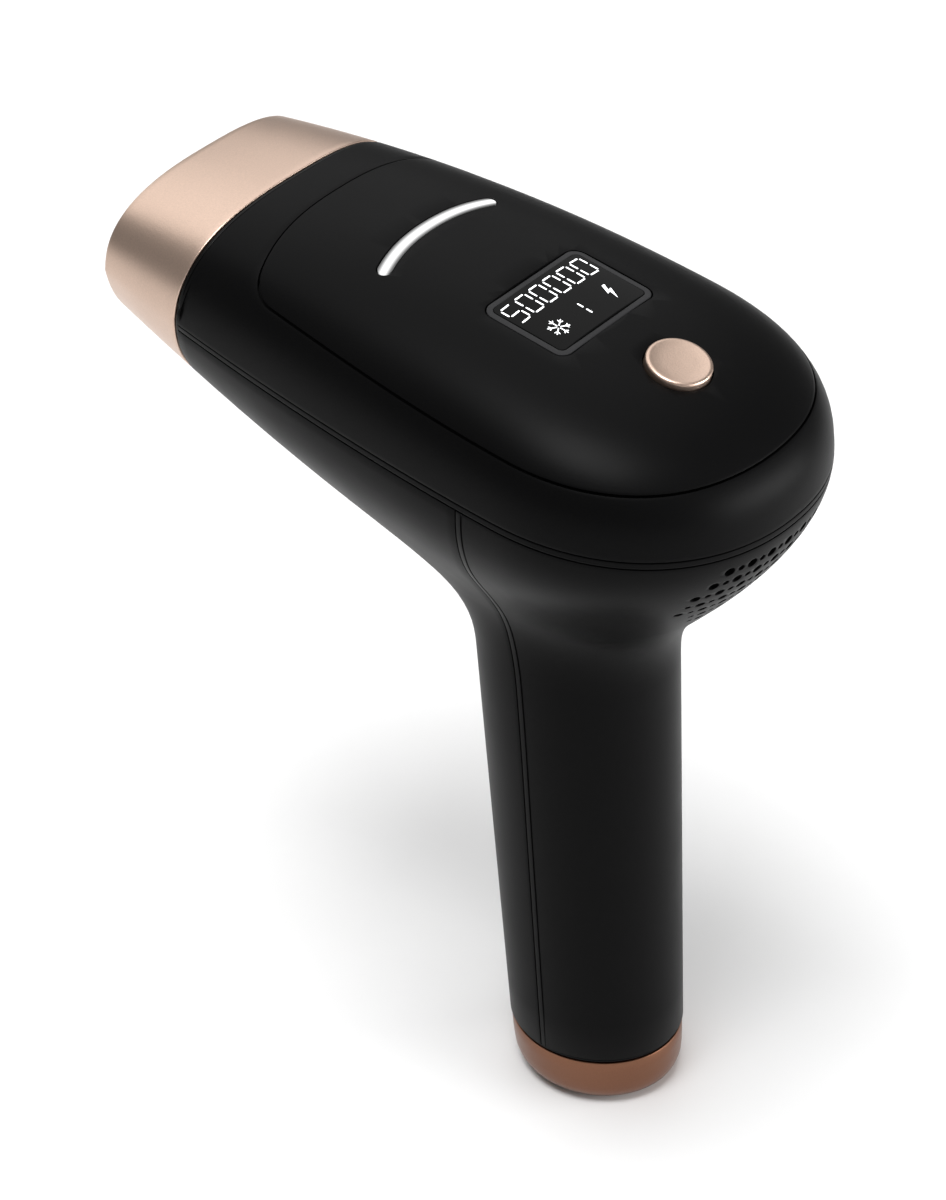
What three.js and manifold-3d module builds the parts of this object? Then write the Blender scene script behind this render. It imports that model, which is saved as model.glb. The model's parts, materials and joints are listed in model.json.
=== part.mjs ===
// Hand-held IPL (intense pulsed light) hair remover, in millimetres.
// +Z runs up the handle, the flash window looks along -Y, and the origin is the centre of the handle's foot.
// The object is symmetric about the plane X = 0.
import * as THREE from 'three';
import { mergeVertices } from 'three/addons/utils/BufferGeometryUtils.js';
import Module from 'manifold-3d';

const wasm = await Module();
wasm.setup();

// ------------------------------------------------------------------ driving dimensions
const GAP = 0.3; // joint gap between neighbouring pieces
const WALL = 2.4; // thickness of the moulded shells
const FAR = 320; // larger than the object, for cutting regions

const HANDLE = { footHalfWidth: 16.0, topHalfWidth: 18.1, depthRatio: 1.14, top: 112.6 };
const CAP = { height: 11.5, ringHeight: 0.6, neck: 4.5, floor: 2.6 };
const INLET = { y: 6.2, mouthRadius: 4.4, collar: 1.7, collarTop: 5.6, radius: 5.2, bottom: 5.9, top: 16.5 };

// The head widens out of the handle level by level, up to the parting line at level 1.
const HEAD = {
  partingHeight: 157.8, partingSlope: 0.13, partingBow: 0.000175,
  halfWidth: 36.6, widestY: 12.2, rearY: 50.4, noseY: 172.7,
  rearPower: 2.16, nosePower: 1.6, frontLimit: 104,
};
const CREST = { height: 22.55, slope: 0.0618, bow: 0.00165, sidePower: 2.75, rearPower: 3.44 };

const TIP = { y: -88.35, tilt: 0.2256 }; // plane of the nozzle's mouth, leaning back
const SEAM = { y: -67.3, tilt: 0.2923 }; // plane between the nozzle and the head
const STRIP = { top: -0.5, height: 1.2, width: 2.0 }; // raised strip under the parting line

const PANEL = {
  halfWidth: 33.85, frontHalfWidth: 29.5, rearY: 46.5, frontY: -48.4, frontBulge: 3.5, corner: 5.0, thickness: 1.4,
};
const DISPLAY = { width: 27.1, length: 18.5, y: 2.0, corner: 2.4, bezel: 0.8, thickness: 1.6 };
const LIGHT_BAR = { width: 32.4, length: 2.8, y: -30.6, bow: 2.4, thickness: 1.6 }; // bows towards the nozzle
const BUTTON = { y: 25.9, radius: 6.15, proud: 1.2, travel: 0.8, flangeRadius: 7.4 };
const TRIGGER = { z: 96, width: 12, height: 23, proud: 1.3, travel: 1.5 };
const VENT = {
  topLevel: 0.855, levelStep: 0.08, pitch: 2.375, taper: 0.45, largeRadius: 1.1, smallRadius: 0.62,
  reach: [6, 7, 8, 8, 8, 6, 5], // holes on each side of the middle, row by row from the top
};

const WINDOW = { width: 36, height: 13, thickness: 3.0, recess: 0.8, frameBack: 4.0, contactX: 21 };
const BOARD = { width: 40, front: -49, rear: 33, depth: 13.0, thickness: 1.6 };
const FAN = { size: 33, depth: 10, y: 13, z: 145.5, bladeRadius: 14.6, hubRadius: 6.2, blades: 7 };
const LAMP = { y: 16.5, bore: 2.5, leadX: 23.6 }; // in the flash unit, behind the mouth
const CAPACITOR = { radius: 11.5, bottom: 26, top: 84 };

// ------------------------------------------------------------------ solids and booleans
function solid(geometry) {
  const bare = geometry.clone();
  bare.deleteAttribute('normal');
  bare.deleteAttribute('uv');
  const merged = mergeVertices(bare, 1e-4);
  const index = merged.index.array;
  const kept = [];
  for (let i = 0; i < index.length; i += 3) {
    const [a, b, c] = [index[i], index[i + 1], index[i + 2]];
    if (a !== b && b !== c && c !== a) kept.push(a, b, c);
  }
  const vertProperties = Float32Array.from(merged.attributes.position.array);
  return new wasm.Manifold(new wasm.Mesh({ numProp: 3, vertProperties, triVerts: Uint32Array.from(kept) }));
}

function geometryOf(manifold) {
  const mesh = manifold.getMesh();
  const geometry = new THREE.BufferGeometry();
  geometry.setAttribute('position', new THREE.BufferAttribute(mesh.vertProperties, 3));
  geometry.setIndex(new THREE.BufferAttribute(mesh.triVerts, 1));
  geometry.computeVertexNormals();
  return geometry;
}

const joined = (first, ...others) => others.reduce((sum, other) => sum.add(other), first);
const cut = (first, ...others) => others.reduce((rest, other) => rest.subtract(other), first);

// ------------------------------------------------------------------ simple geometries
function moved(geometry, x, y, z) {
  return geometry.translate(x, y, z);
}

function block(width, depth, height, x = 0, y = 0, z = 0) {
  return moved(new THREE.BoxGeometry(width, depth, height), x, y, z);
}

function rod(radius, length, axis = 'z', sides = 24) {
  const geometry = new THREE.CylinderGeometry(radius, radius, length, sides);
  if (axis === 'x') return geometry.rotateZ(Math.PI / 2);
  if (axis === 'z') return geometry.rotateX(Math.PI / 2);
  return geometry;
}

// A closed profile of [radius, height] corners turned about Z.
function turned(profile, sides = 40) {
  const points = profile.map(([radius, height]) => new THREE.Vector2(radius, height));
  return new THREE.LatheGeometry(points, sides).rotateX(Math.PI / 2);
}

// A rounded rectangle centred on the origin.
function roundedRectangle(width, height, corner) {
  const [x, y] = [width / 2, height / 2];
  const shape = new THREE.Shape();
  shape.moveTo(x, -y + corner);
  shape.absarc(x - corner, y - corner, corner, 0, Math.PI / 2, false);
  shape.absarc(-x + corner, y - corner, corner, Math.PI / 2, Math.PI, false);
  shape.absarc(-x + corner, -y + corner, corner, Math.PI, 1.5 * Math.PI, false);
  shape.absarc(x - corner, -y + corner, corner, 1.5 * Math.PI, 2 * Math.PI, false);
  return shape;
}

// A shape drawn in X and Y, made into a column along Z from bottom to top.
function column(shape, bottom, top, curveSegments = 3) {
  const geometry = new THREE.ExtrudeGeometry(shape, { depth: top - bottom, bevelEnabled: false, curveSegments });
  return geometry.translate(0, 0, bottom);
}

// A shape drawn in Y and Z, made into a bar along X, centred on X = 0.
function crossbar(shape, width, curveSegments = 6) {
  const geometry = new THREE.ExtrudeGeometry(shape, { depth: width, bevelEnabled: false, curveSegments });
  const axes = new THREE.Matrix4().makeBasis(
    new THREE.Vector3(0, 1, 0), new THREE.Vector3(0, 0, 1), new THREE.Vector3(1, 0, 0));
  return geometry.translate(0, 0, -width / 2).applyMatrix4(axes);
}

// A round tube that follows a smooth curve through the points.
function tube(points, radius, steps, sides = 8) {
  const section = new THREE.Shape();
  for (let i = 0; i < sides; i++) {
    const angle = (2 * Math.PI * i) / sides;
    const [x, y] = [radius * Math.cos(angle), radius * Math.sin(angle)];
    if (i === 0) section.moveTo(x, y);
    else section.lineTo(x, y);
  }
  const extrudePath = new THREE.CatmullRomCurve3(points.map(([x, y, z]) => new THREE.Vector3(x, y, z)));
  return new THREE.ExtrudeGeometry(section, { steps, extrudePath, bevelEnabled: false });
}

// A compression spring standing on Z, from bottom to top.
function coil(radius, wire, bottom, top, turns) {
  const stepsPerTurn = 10;
  const points = [];
  for (let i = 0; i <= turns * stepsPerTurn; i++) {
    const angle = (2 * Math.PI * i) / stepsPerTurn;
    const rise = bottom + wire + ((top - bottom - 2 * wire) * i) / (turns * stepsPerTurn);
    points.push([radius * Math.cos(angle), radius * Math.sin(angle), rise]);
  }
  return tube(points, wire, turns * stepsPerTurn, 5);
}

// ------------------------------------------------------------------ form of the body
const partingHeight = (y) => HEAD.partingHeight - HEAD.partingSlope * y + HEAD.partingBow * y * y;

// Rises from 0 at level 0 to 1 at level 1, flat at both ends.
const flare = (level, start, finish) => 1 - (1 - level ** start) ** finish;

function levelExtents(level, inset) {
  const depth = HANDLE.topHalfWidth * HANDLE.depthRatio;
  const sideFlare = flare(level, 1.95, 3.0);
  const noseFlare = level ** 1.316 * (1 + 0.18 * (level - 1));
  return {
    centreY: HEAD.widestY * sideFlare,
    halfWidth: HANDLE.topHalfWidth + (HEAD.halfWidth - HANDLE.topHalfWidth) * sideFlare - inset,
    rearY: depth + (HEAD.rearY - depth) * flare(level, 1.11, 1.73) - inset,
    noseY: depth + (HEAD.noseY - depth) * noseFlare - inset,
    rearPower: 2 + (HEAD.rearPower - 2) * level,
    nosePower: 2 + (HEAD.nosePower - 2) * level,
  };
}

function halfWidthAt(y, level, inset) {
  const at = levelExtents(level, inset);
  const behind = y > at.centreY;
  const reach = behind ? at.rearY - at.centreY : at.centreY + at.noseY;
  const power = behind ? at.rearPower : at.nosePower;
  const share = Math.min(Math.abs(y - at.centreY) / reach, 1);
  return at.halfWidth * (1 - share ** power) ** (1 / power);
}

// Height of the roof over the parting line along the middle of the head.
function crestHeight(y, inset = 0) {
  const rear = Math.max(0, (y - HEAD.widestY) / (HEAD.rearY - inset - HEAD.widestY));
  const rise = CREST.height - CREST.slope * y - CREST.bow * y * y;
  return rise * (1 - Math.min(rear, 1) ** CREST.rearPower) ** (1 / CREST.rearPower);
}

function roofHeight(x, y, form) {
  const share = Math.min(Math.abs(x) / Math.max(halfWidthAt(y, 1, form.inset), 0.1), 1);
  const crest = Math.max(crestHeight(y, form.inset) - form.lift - form.roof, 0.05);
  const shoulder = (1 - share ** CREST.sidePower) ** (1 / CREST.sidePower);
  return partingHeight(y) + form.lift + crest * shoulder;
}

const BLUNT_NOSE = 1.2; // least half width of a ring at its front end

// One closed ring of the head at a level, seen from above counter-clockwise from the rear.
function levelRing(level, form, sideSteps) {
  const at = levelExtents(level, form.inset);
  const noseY = Math.min(at.noseY, HEAD.frontLimit);
  const left = [];
  for (let i = 0; i <= sideSteps; i++) {
    const turn = Math.cos((Math.PI * i) / sideSteps);
    const y = at.centreY + turn * (turn > 0 ? at.rearY - at.centreY : at.centreY + noseY);
    const x = i === 0 ? 0 : Math.max(halfWidthAt(y, level, form.inset), BLUNT_NOSE);
    const z = HANDLE.top + form.lift + level * (partingHeight(y) - HANDLE.top);
    left.push(new THREE.Vector3(-x, y, z));
  }
  const nose = left.at(-1);
  const across = [0.5, 0, -0.5].map((share) => new THREE.Vector3(nose.x * share, nose.y, nose.z));
  const right = left.slice(1).reverse().map((point) => new THREE.Vector3(-point.x, point.y, point.z));
  return [...left, ...across, ...right];
}

function handleRing(z, form, sideSteps) {
  const rise = z / HANDLE.top;
  const half = HANDLE.footHalfWidth + (HANDLE.topHalfWidth - HANDLE.footHalfWidth) * rise;
  const full = HANDLE.topHalfWidth - form.inset;
  return levelRing(0, form, sideSteps).map((point) => {
    const x = (point.x * (half - form.inset)) / full;
    const y = (point.y * (half * HANDLE.depthRatio - form.inset)) /
      (HANDLE.topHalfWidth * HANDLE.depthRatio - form.inset);
    return new THREE.Vector3(x, y, z);
  });
}

function roofRing(scale, form, sideSteps) {
  return levelRing(1, form, sideSteps).map((edge) => {
    const x = edge.x * scale;
    const y = HEAD.widestY + (edge.y - HEAD.widestY) * scale;
    return new THREE.Vector3(x, y, roofHeight(x, y, form));
  });
}

// A closed skin over rings that all hold the same number of points, from the lowest ring to the highest.
function lofted(rings, bottomCentre, topCentre) {
  const count = rings[0].length;
  const points = [bottomCentre, topCentre, ...rings.flat()];
  const at = (ring, i) => 2 + ring * count + (i % count);
  const index = [];
  for (let i = 0; i < count; i++) {
    index.push(0, at(0, i + 1), at(0, i));
    index.push(1, at(rings.length - 1, i), at(rings.length - 1, i + 1));
    for (let ring = 0; ring + 1 < rings.length; ring++) {
      index.push(at(ring, i), at(ring, i + 1), at(ring + 1, i + 1));
      index.push(at(ring, i), at(ring + 1, i + 1), at(ring + 1, i));
    }
  }
  const geometry = new THREE.BufferGeometry().setFromPoints(points);
  return geometry.setIndex(index);
}

// The whole body, handle and head, as one skin: inset sideways, lifted below and lowered under the roof.
function body({ inset = 0, lift = 0, roof = 0, bottom = 0, sideSteps = 14 }) {
  const form = { inset, lift, roof };
  const handle = [bottom, 60].map((z) => handleRing(z, form, sideSteps));
  const levels = [0, 0.1, 0.21, 0.33, 0.46, 0.6, 0.74, 0.88, 1]
    .map((level) => levelRing(level, form, sideSteps));
  const roofs = [0.985, 0.94, 0.84, 0.66, 0.44, 0.22].map((scale) => roofRing(scale, form, sideSteps));
  const peak = new THREE.Vector3(0, HEAD.widestY, roofHeight(0, HEAD.widestY, form));
  return solid(lofted([...handle, ...levels, ...roofs], new THREE.Vector3(0, 0, bottom), peak));
}

// ------------------------------------------------------------------ cutting regions
// Everything behind a leaning plane that crosses the parting line at y.
function behindPlane(y, tilt) {
  const region = block(FAR, FAR, FAR, 0, FAR / 2, 0).rotateX(-tilt);
  return solid(moved(region, 0, y, partingHeight(y)));
}

// Everything above the parting line moved by an offset.
function aboveParting(offset) {
  const shape = new THREE.Shape();
  const stations = 12;
  for (let i = 0; i <= stations; i++) {
    const y = -120 + (200 * i) / stations;
    if (i === 0) shape.moveTo(y, partingHeight(y) + offset);
    else shape.lineTo(y, partingHeight(y) + offset);
  }
  shape.lineTo(80, FAR);
  shape.lineTo(-120, FAR);
  return solid(crossbar(shape, FAR));
}

// Everything in front of the joint between the front and the rear shell.
function inFrontOfJoint(offset) {
  const joint = new THREE.SplineCurve([
    new THREE.Vector2(-1.7, 10), new THREE.Vector2(-0.7, 104), new THREE.Vector2(-1.4, 124),
    new THREE.Vector2(3.0, 150), new THREE.Vector2(4.0, 170)]);
  const shape = new THREE.Shape();
  shape.moveTo(-150, -10);
  for (const point of joint.getPoints(18)) shape.lineTo(point.x + offset, point.y);
  shape.lineTo(-150, 170);
  return solid(crossbar(shape, FAR));
}

// ------------------------------------------------------------------ outlines on the roof
function panelOutline(inset) {
  const [half, front] = [PANEL.halfWidth - inset, PANEL.frontHalfWidth - inset];
  const [rearY, frontY] = [PANEL.rearY - inset, PANEL.frontY + inset];
  const rearSteps = 10;
  const side = [];
  for (let i = 0; i <= rearSteps; i++) {
    const angle = (Math.PI / 2) * (1 - i / rearSteps);
    const x = half * Math.cos(angle) ** (2 / 2.27);
    side.push(new THREE.Vector2(x, HEAD.widestY + (rearY - HEAD.widestY) * Math.sin(angle) ** (2 / 2.17)));
  }
  const cornerStart = new THREE.Vector2(front, frontY + PANEL.corner);
  const flank = new THREE.QuadraticBezierCurve(side.at(-1), new THREE.Vector2(half, -12), cornerStart);
  const cornerEnd = new THREE.Vector2(front - PANEL.corner, frontY - PANEL.frontBulge * 0.3);
  const corner = new THREE.QuadraticBezierCurve(cornerStart, new THREE.Vector2(front - 0.6, frontY), cornerEnd);
  const middle = new THREE.Vector2(0, frontY - PANEL.frontBulge);
  const nose = new THREE.QuadraticBezierCurve(cornerEnd, new THREE.Vector2(front / 2, middle.y), middle);
  side.push(...flank.getPoints(4).slice(1), ...corner.getPoints(3).slice(1), ...nose.getPoints(3).slice(1));
  const otherSide = side.slice(1, -1).reverse().map((point) => new THREE.Vector2(-point.x, point.y));
  return new THREE.Shape([...side, ...otherSide]);
}

function displayColumn(growth) {
  const shape = roundedRectangle(DISPLAY.width + 2 * growth, DISPLAY.length + 2 * growth,
    Math.max(DISPLAY.corner + growth, 0.5));
  return solid(moved(column(shape, 150, 200), 0, DISPLAY.y, 0));
}

// A bar with round ends along a shallow bow.
function lightBarColumn(growth) {
  const half = (LIGHT_BAR.width - LIGHT_BAR.length) / 2;
  const radius = LIGHT_BAR.length / 2 + growth;
  const edge = (share, side) => {
    const lean = Math.atan((2 * LIGHT_BAR.bow * share) / half) + (side * Math.PI) / 2;
    const middle = LIGHT_BAR.y + LIGHT_BAR.bow * share ** 2;
    return new THREE.Vector2(half * share + radius * Math.cos(lean), middle + radius * Math.sin(lean));
  };
  const [bowSteps, endSteps] = [8, 6];
  const points = [];
  for (let i = 0; i <= bowSteps; i++) points.push(edge(-1 + (2 * i) / bowSteps, -1));
  for (let i = 1; i < endSteps; i++) points.push(edge(1, -1 + (2 * i) / endSteps));
  for (let i = 0; i <= bowSteps; i++) points.push(edge(1 - (2 * i) / bowSteps, 1));
  for (let i = 1; i < endSteps; i++) points.push(edge(-1, 1 + (2 * i) / endSteps));
  return solid(column(new THREE.Shape(points), 150, 200));
}

// ------------------------------------------------------------------ local frames
const roofAt = (y) => partingHeight(y) + crestHeight(y);

// The button stands square to the roof.
const buttonFrame = new THREE.Matrix4().makeRotationX(Math.atan((roofAt(BUTTON.y + 1) - roofAt(BUTTON.y - 1)) / 2))
  .setPosition(0, BUTTON.y, roofAt(BUTTON.y));

// The circuit board lies parallel to the middle of the roof.
const DECK_TILT = -Math.PI / 20;
const deckFrame = new THREE.Matrix4().makeRotationX(DECK_TILT).setPosition(0, 0, roofAt(0));

// The flash unit's own Y runs from the middle of the nozzle's mouth into the head.
const FLASH_HEIGHT = 170.5;
const flashFrame = new THREE.Matrix4().makeRotationX(-TIP.tilt)
  .setPosition(0, TIP.y + Math.tan(TIP.tilt) * (FLASH_HEIGHT - partingHeight(TIP.y)), FLASH_HEIGHT);

const inFrame = (geometry, frame) => solid(geometry).transform(frame.elements);

// ------------------------------------------------------------------ shells
const outer = body({});
const inner = body({ inset: WALL, lift: 1.8, roof: WALL, sideSteps: 10, bottom: -1 });
const wallSkin = outer.subtract(inner);
const behindSeam = behindPlane(SEAM.y + GAP, SEAM.tilt);
const panelColumn = (inset) => solid(column(panelOutline(inset), 120, 220));
const buttonBore = (radius) => inFrame(rod(radius, 16, 'z', 32), buttonFrame);

function boardScrewPlaces() {
  const places = [];
  for (const side of [-1, 1]) {
    for (const y of [BOARD.front + 5, BOARD.rear - 5]) places.push([side * (BOARD.width / 2 - 4), y]);
  }
  return places;
}

function upperShell() {
  const cover = wallSkin.intersect(behindSeam).intersect(aboveParting(-0.2));
  const bed = panelColumn(-0.15).subtract(outer.translate([0, 0, -PANEL.thickness - GAP]));
  const openings = [displayColumn(GAP + DISPLAY.bezel), lightBarColumn(GAP), buttonBore(BUTTON.radius + 0.5)];
  const shell = cut(cover, bed, ...openings);
  const posts = boardScrewPlaces().map(([x, y]) => {
    const post = rod(2.6, BOARD.depth - 0.6, 'z', 14);
    return inFrame(moved(post, x, y, -BOARD.depth / 2 - 0.1), deckFrame);
  });
  const holes = boardScrewPlaces().map(([x, y]) =>
    inFrame(moved(rod(1.3, 12, 'z', 12), x, y, -BOARD.depth + 3), deckFrame));
  const roofRoom = outer.translate([0, 0, -PANEL.thickness - GAP - 0.5]);
  return cut(joined(shell, ...posts.map((post) => post.intersect(roofRoom))), ...holes);
}

function topPanel() {
  const plate = outer.subtract(outer.translate([0, 0, -PANEL.thickness])).intersect(panelColumn(GAP / 2));
  return cut(plate, displayColumn(GAP), lightBarColumn(GAP), buttonBore(BUTTON.radius + GAP));
}

function lowerWall() {
  const handleEnd = CAP.height + CAP.ringHeight + 2 * GAP;
  const aboveRing = solid(block(FAR, FAR, FAR, 0, 0, FAR / 2 + handleEnd));
  return wallSkin.intersect(aboveRing).intersect(behindSeam)
    .subtract(aboveParting(STRIP.top - STRIP.height - GAP));
}

function triggerColumn(growth, from, to) {
  const shape = roundedRectangle(TRIGGER.width + 2 * growth, TRIGGER.height + 2 * growth, 5 + growth);
  const bar = column(shape, -to, -from).rotateX(Math.PI / 2);
  return solid(moved(bar, 0, 0, TRIGGER.z));
}

function frontShell() {
  return lowerWall().intersect(inFrontOfJoint(-GAP / 2)).subtract(triggerColumn(GAP, -40, 0));
}

// A point on the rear of the head under the parting line.
function rearPoint(x, level) {
  const at = levelExtents(level, 0);
  const share = (1 - (Math.abs(x) / at.halfWidth) ** at.rearPower) ** (1 / at.rearPower);
  const y = at.centreY + (at.rearY - at.centreY) * share;
  return new THREE.Vector3(x, y, HANDLE.top + level * (partingHeight(y) - HANDLE.top));
}

// Places a drill whose own Y points out of the rear of the head.
function drillPlace(x, level) {
  const across = rearPoint(x + 0.1, level).sub(rearPoint(x - 0.1, level));
  const up = rearPoint(x, level + 0.01).sub(rearPoint(x, level - 0.01));
  const outwards = up.cross(across).normalize();
  const turn = new THREE.Quaternion().setFromUnitVectors(new THREE.Vector3(0, 1, 0), outwards);
  return new THREE.Matrix4().compose(rearPoint(x, level), turn, new THREE.Vector3(1, 1, 1));
}

// Round holes in staggered rows, large and small by turns, closer together towards the handle.
function ventHoles() {
  const holes = [];
  VENT.reach.forEach((reach, row) => {
    const level = VENT.topLevel - row * VENT.levelStep;
    const pitch = VENT.pitch * (1 - VENT.taper * (VENT.topLevel - level));
    for (let i = -reach; i <= reach; i++) {
      const radius = (i + row) % 2 === 0 ? VENT.largeRadius : VENT.smallRadius;
      const drill = moved(rod(radius, 10, 'y', 6), 0, -2.5, 0);
      holes.push(inFrame(drill, drillPlace(i * pitch, level)));
    }
  });
  return holes;
}

function rearShell() {
  return cut(lowerWall().subtract(inFrontOfJoint(GAP / 2)), ...ventHoles());
}

function partingStrip() {
  const core = body({ inset: STRIP.width, sideSteps: 10 });
  const band = aboveParting(STRIP.top - STRIP.height).subtract(aboveParting(STRIP.top));
  return outer.subtract(core).intersect(band).intersect(behindSeam);
}

function nozzleShell() {
  return wallSkin.intersect(behindPlane(TIP.y, TIP.tilt)).subtract(behindPlane(SEAM.y - 0.9, SEAM.tilt));
}

function nozzleSeamRing() {
  const ring = body({ inset: 0.25, roof: 0.25 }).subtract(inner);
  return ring.intersect(behindPlane(SEAM.y - 0.6, SEAM.tilt)).subtract(behindPlane(SEAM.y, SEAM.tilt));
}

// A cup with a flat foot and a collar round the DC inlet's mouth; its neck plugs into the handle.
function endCap() {
  const foot = HANDLE.footHalfWidth;
  const neck = foot - WALL - 2 * GAP;
  const bore = neck - 1.6;
  const profile = [
    [0, 0], [foot - 4.2, 0], [foot - 2.6, 0.5], [foot - 1.2, 1.8], [foot - 0.35, 4], [foot, CAP.height],
    [neck, CAP.height], [neck, CAP.height + CAP.neck], [bore, CAP.height + CAP.neck], [bore, CAP.floor],
    [0, CAP.floor]];
  const cup = solid(turned(profile, 28).scale(1, HANDLE.depthRatio, 1));
  const collarHeight = INLET.collarTop - 1;
  const collar = moved(rod(INLET.mouthRadius + INLET.collar, collarHeight), 0, INLET.y, 1 + collarHeight / 2);
  const mouth = moved(rod(INLET.mouthRadius, 20), 0, INLET.y, 0);
  return cup.add(solid(collar)).subtract(solid(mouth));
}

function capRing() {
  const [rim, neck] = [HANDLE.footHalfWidth - 0.2, HANDLE.footHalfWidth - WALL];
  const [low, high] = [CAP.height + GAP, CAP.height + GAP + CAP.ringHeight - 0.2];
  const profile = [[neck, low], [rim, low], [rim, high], [neck, high], [neck, low]];
  return solid(turned(profile, 28).scale(1, HANDLE.depthRatio, 1));
}

// ------------------------------------------------------------------ display, light bar and button
function displayGlass() {
  const glass = outer.subtract(outer.translate([0, 0, -DISPLAY.thickness]));
  return glass.intersect(displayColumn(-DISPLAY.bezel - GAP));
}

function displayBezel() {
  const frame = outer.subtract(outer.translate([0, 0, -DISPLAY.thickness]));
  return frame.intersect(displayColumn(0)).subtract(displayColumn(-DISPLAY.bezel));
}

function displayModule() {
  const lens = block(23, 15, 1.6, 0, 0, 1.6);
  return joined(inFrame(moved(block(32, 22, 4), 0, DISPLAY.y, -6), deckFrame),
    inFrame(moved(lens, 0, DISPLAY.y, -5), deckFrame));
}

function lightBarLens() {
  return outer.subtract(outer.translate([0, 0, -LIGHT_BAR.thickness])).intersect(lightBarColumn(0));
}

function lightBarBoard() {
  return inFrame(block(36, 7, 1.2, 0, LIGHT_BAR.y + 0.8, -5.4), deckFrame);
}

function mainBoard() {
  const plate = block(BOARD.width, BOARD.rear - BOARD.front, BOARD.thickness,
    0, (BOARD.rear + BOARD.front) / 2, -BOARD.depth - BOARD.thickness / 2);
  const chips = [[0, -38, 12], [8, -20, 8], [-9, -18, 7]].map(([x, y, size]) =>
    inFrame(block(size, size, 1.8, x, y, -BOARD.depth + 0.8), deckFrame));
  const holes = boardScrewPlaces().map(([x, y]) =>
    inFrame(moved(rod(1.4, 8, 'z', 12), x, y, -BOARD.depth), deckFrame));
  return cut(joined(inFrame(plate, deckFrame), ...chips), ...holes);
}

function boardScrew([x, y]) {
  const profile = [[0, -3.4], [2.2, -3.4], [2.2, -2.0], [1.0, -2.0], [1.0, 5], [0, 5.6]];
  return inFrame(moved(turned(profile, 12), x, y, -BOARD.depth), deckFrame);
}

function powerButton() {
  const { radius, proud, flangeRadius } = BUTTON;
  const profile = [
    [0, -6.4], [1.5, -6.4], [1.5, -4.5], [flangeRadius, -4.5], [flangeRadius, -3.5], [radius, -3.5],
    [radius, proud - 0.6], [radius - 0.7, proud], [0, proud - 0.3]];
  return inFrame(turned(profile, 28), buttonFrame);
}

const buttonSpring = () => inFrame(coil(2.5, 0.3, -7.3, -4.6, 3), buttonFrame);

const buttonSwitch = () => inFrame(block(7, 7, 2.4, 0, 0, -8.9), buttonFrame);

// ------------------------------------------------------------------ flash unit, from the mouth inwards
function windowFrame() {
  const core = body({ inset: WALL + GAP, lift: 2.2, roof: WALL + GAP, sideSteps: 10 });
  const middle = (WINDOW.frameBack + WINDOW.recess) / 2;
  const slice = inFrame(block(FAR, WINDOW.frameBack - WINDOW.recess, FAR, 0, middle, 0), flashFrame);
  const opening = inFrame(block(WINDOW.width + 2 * GAP, 12, WINDOW.height + 2 * GAP), flashFrame);
  const contactHoles = [-1, 1].map((side) =>
    inFrame(moved(rod(1.9, 12, 'y', 16), side * WINDOW.contactX, 0, 0), flashFrame));
  return cut(core.intersect(slice), opening, ...contactHoles);
}

function flashWindow() {
  const middle = WINDOW.recess + WINDOW.thickness / 2 + 0.1;
  return inFrame(block(WINDOW.width, WINDOW.thickness, WINDOW.height, 0, middle, 0), flashFrame);
}

function skinContact(side) {
  const pin = rod(1.5, 3.6, 'y', 16);
  return inFrame(moved(pin, side * WINDOW.contactX, 2.1, 0), flashFrame);
}

function coolingPlate() {
  const plate = block(39, 2.8, 20, 0, 5.8, 0.5);
  const opening = block(35, 8, 12, 0, 5.8, 0);
  const shelf = block(28, 26, 1.8, 0, 17.4, -10.4);
  return joined(inFrame(plate, flashFrame).subtract(inFrame(opening, flashFrame)), inFrame(shelf, flashFrame));
}

const peltierCooler = () => inFrame(block(24, 18, 3.0, 0, 19, -13.1), flashFrame);

function heatSink() {
  const base = inFrame(block(24, 32, 2.4, 0, 26, -16.1), flashFrame);
  const fins = [-2, -1, 0, 1, 2].map((place) => inFrame(block(1.3, 20, 4.6, place * 4.4, 34, -19.3), flashFrame));
  return joined(base, ...fins);
}

const filterGlass = () => inFrame(block(36, 1.6, 14, 0, 8.5, 0), flashFrame);

function lampReflector() {
  const [mouth, sheet, front, bend] = [6.4, 0.8, 9.8, LAMP.y];
  const shape = new THREE.Shape();
  shape.moveTo(front, mouth);
  shape.lineTo(front, mouth - sheet);
  shape.lineTo(bend, mouth - sheet);
  shape.absarc(bend, 0, mouth - sheet, Math.PI / 2, -Math.PI / 2, true);
  shape.lineTo(front, -mouth + sheet);
  shape.lineTo(front, -mouth);
  shape.lineTo(bend, -mouth);
  shape.absarc(bend, 0, mouth, -Math.PI / 2, Math.PI / 2, false);
  return inFrame(crossbar(shape, 35, 10), flashFrame);
}

function flashLamp() {
  const [end, shoulder, cap] = [22.6, 17.4, 1.5];
  const profile = [
    [0, -end], [cap, -end], [cap, -shoulder], [LAMP.bore, 0.8 - shoulder],
    [LAMP.bore, shoulder - 0.8], [cap, shoulder], [cap, end], [0, end]];
  return inFrame(moved(turned(profile, 16).rotateY(Math.PI / 2), 0, LAMP.y, 0), flashFrame);
}

function lampHolder() {
  const back = block(43, 2, 16, 0, 25.5, 0);
  const cheeks = [-1, 1].map((side) => inFrame(block(2, 16, 14, side * 20.4, 17.6, 0), flashFrame));
  const bores = inFrame(moved(rod(1.9, 60, 'x', 16), 0, LAMP.y, 0), flashFrame);
  return joined(inFrame(back, flashFrame), ...cheeks).subtract(bores);
}

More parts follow.
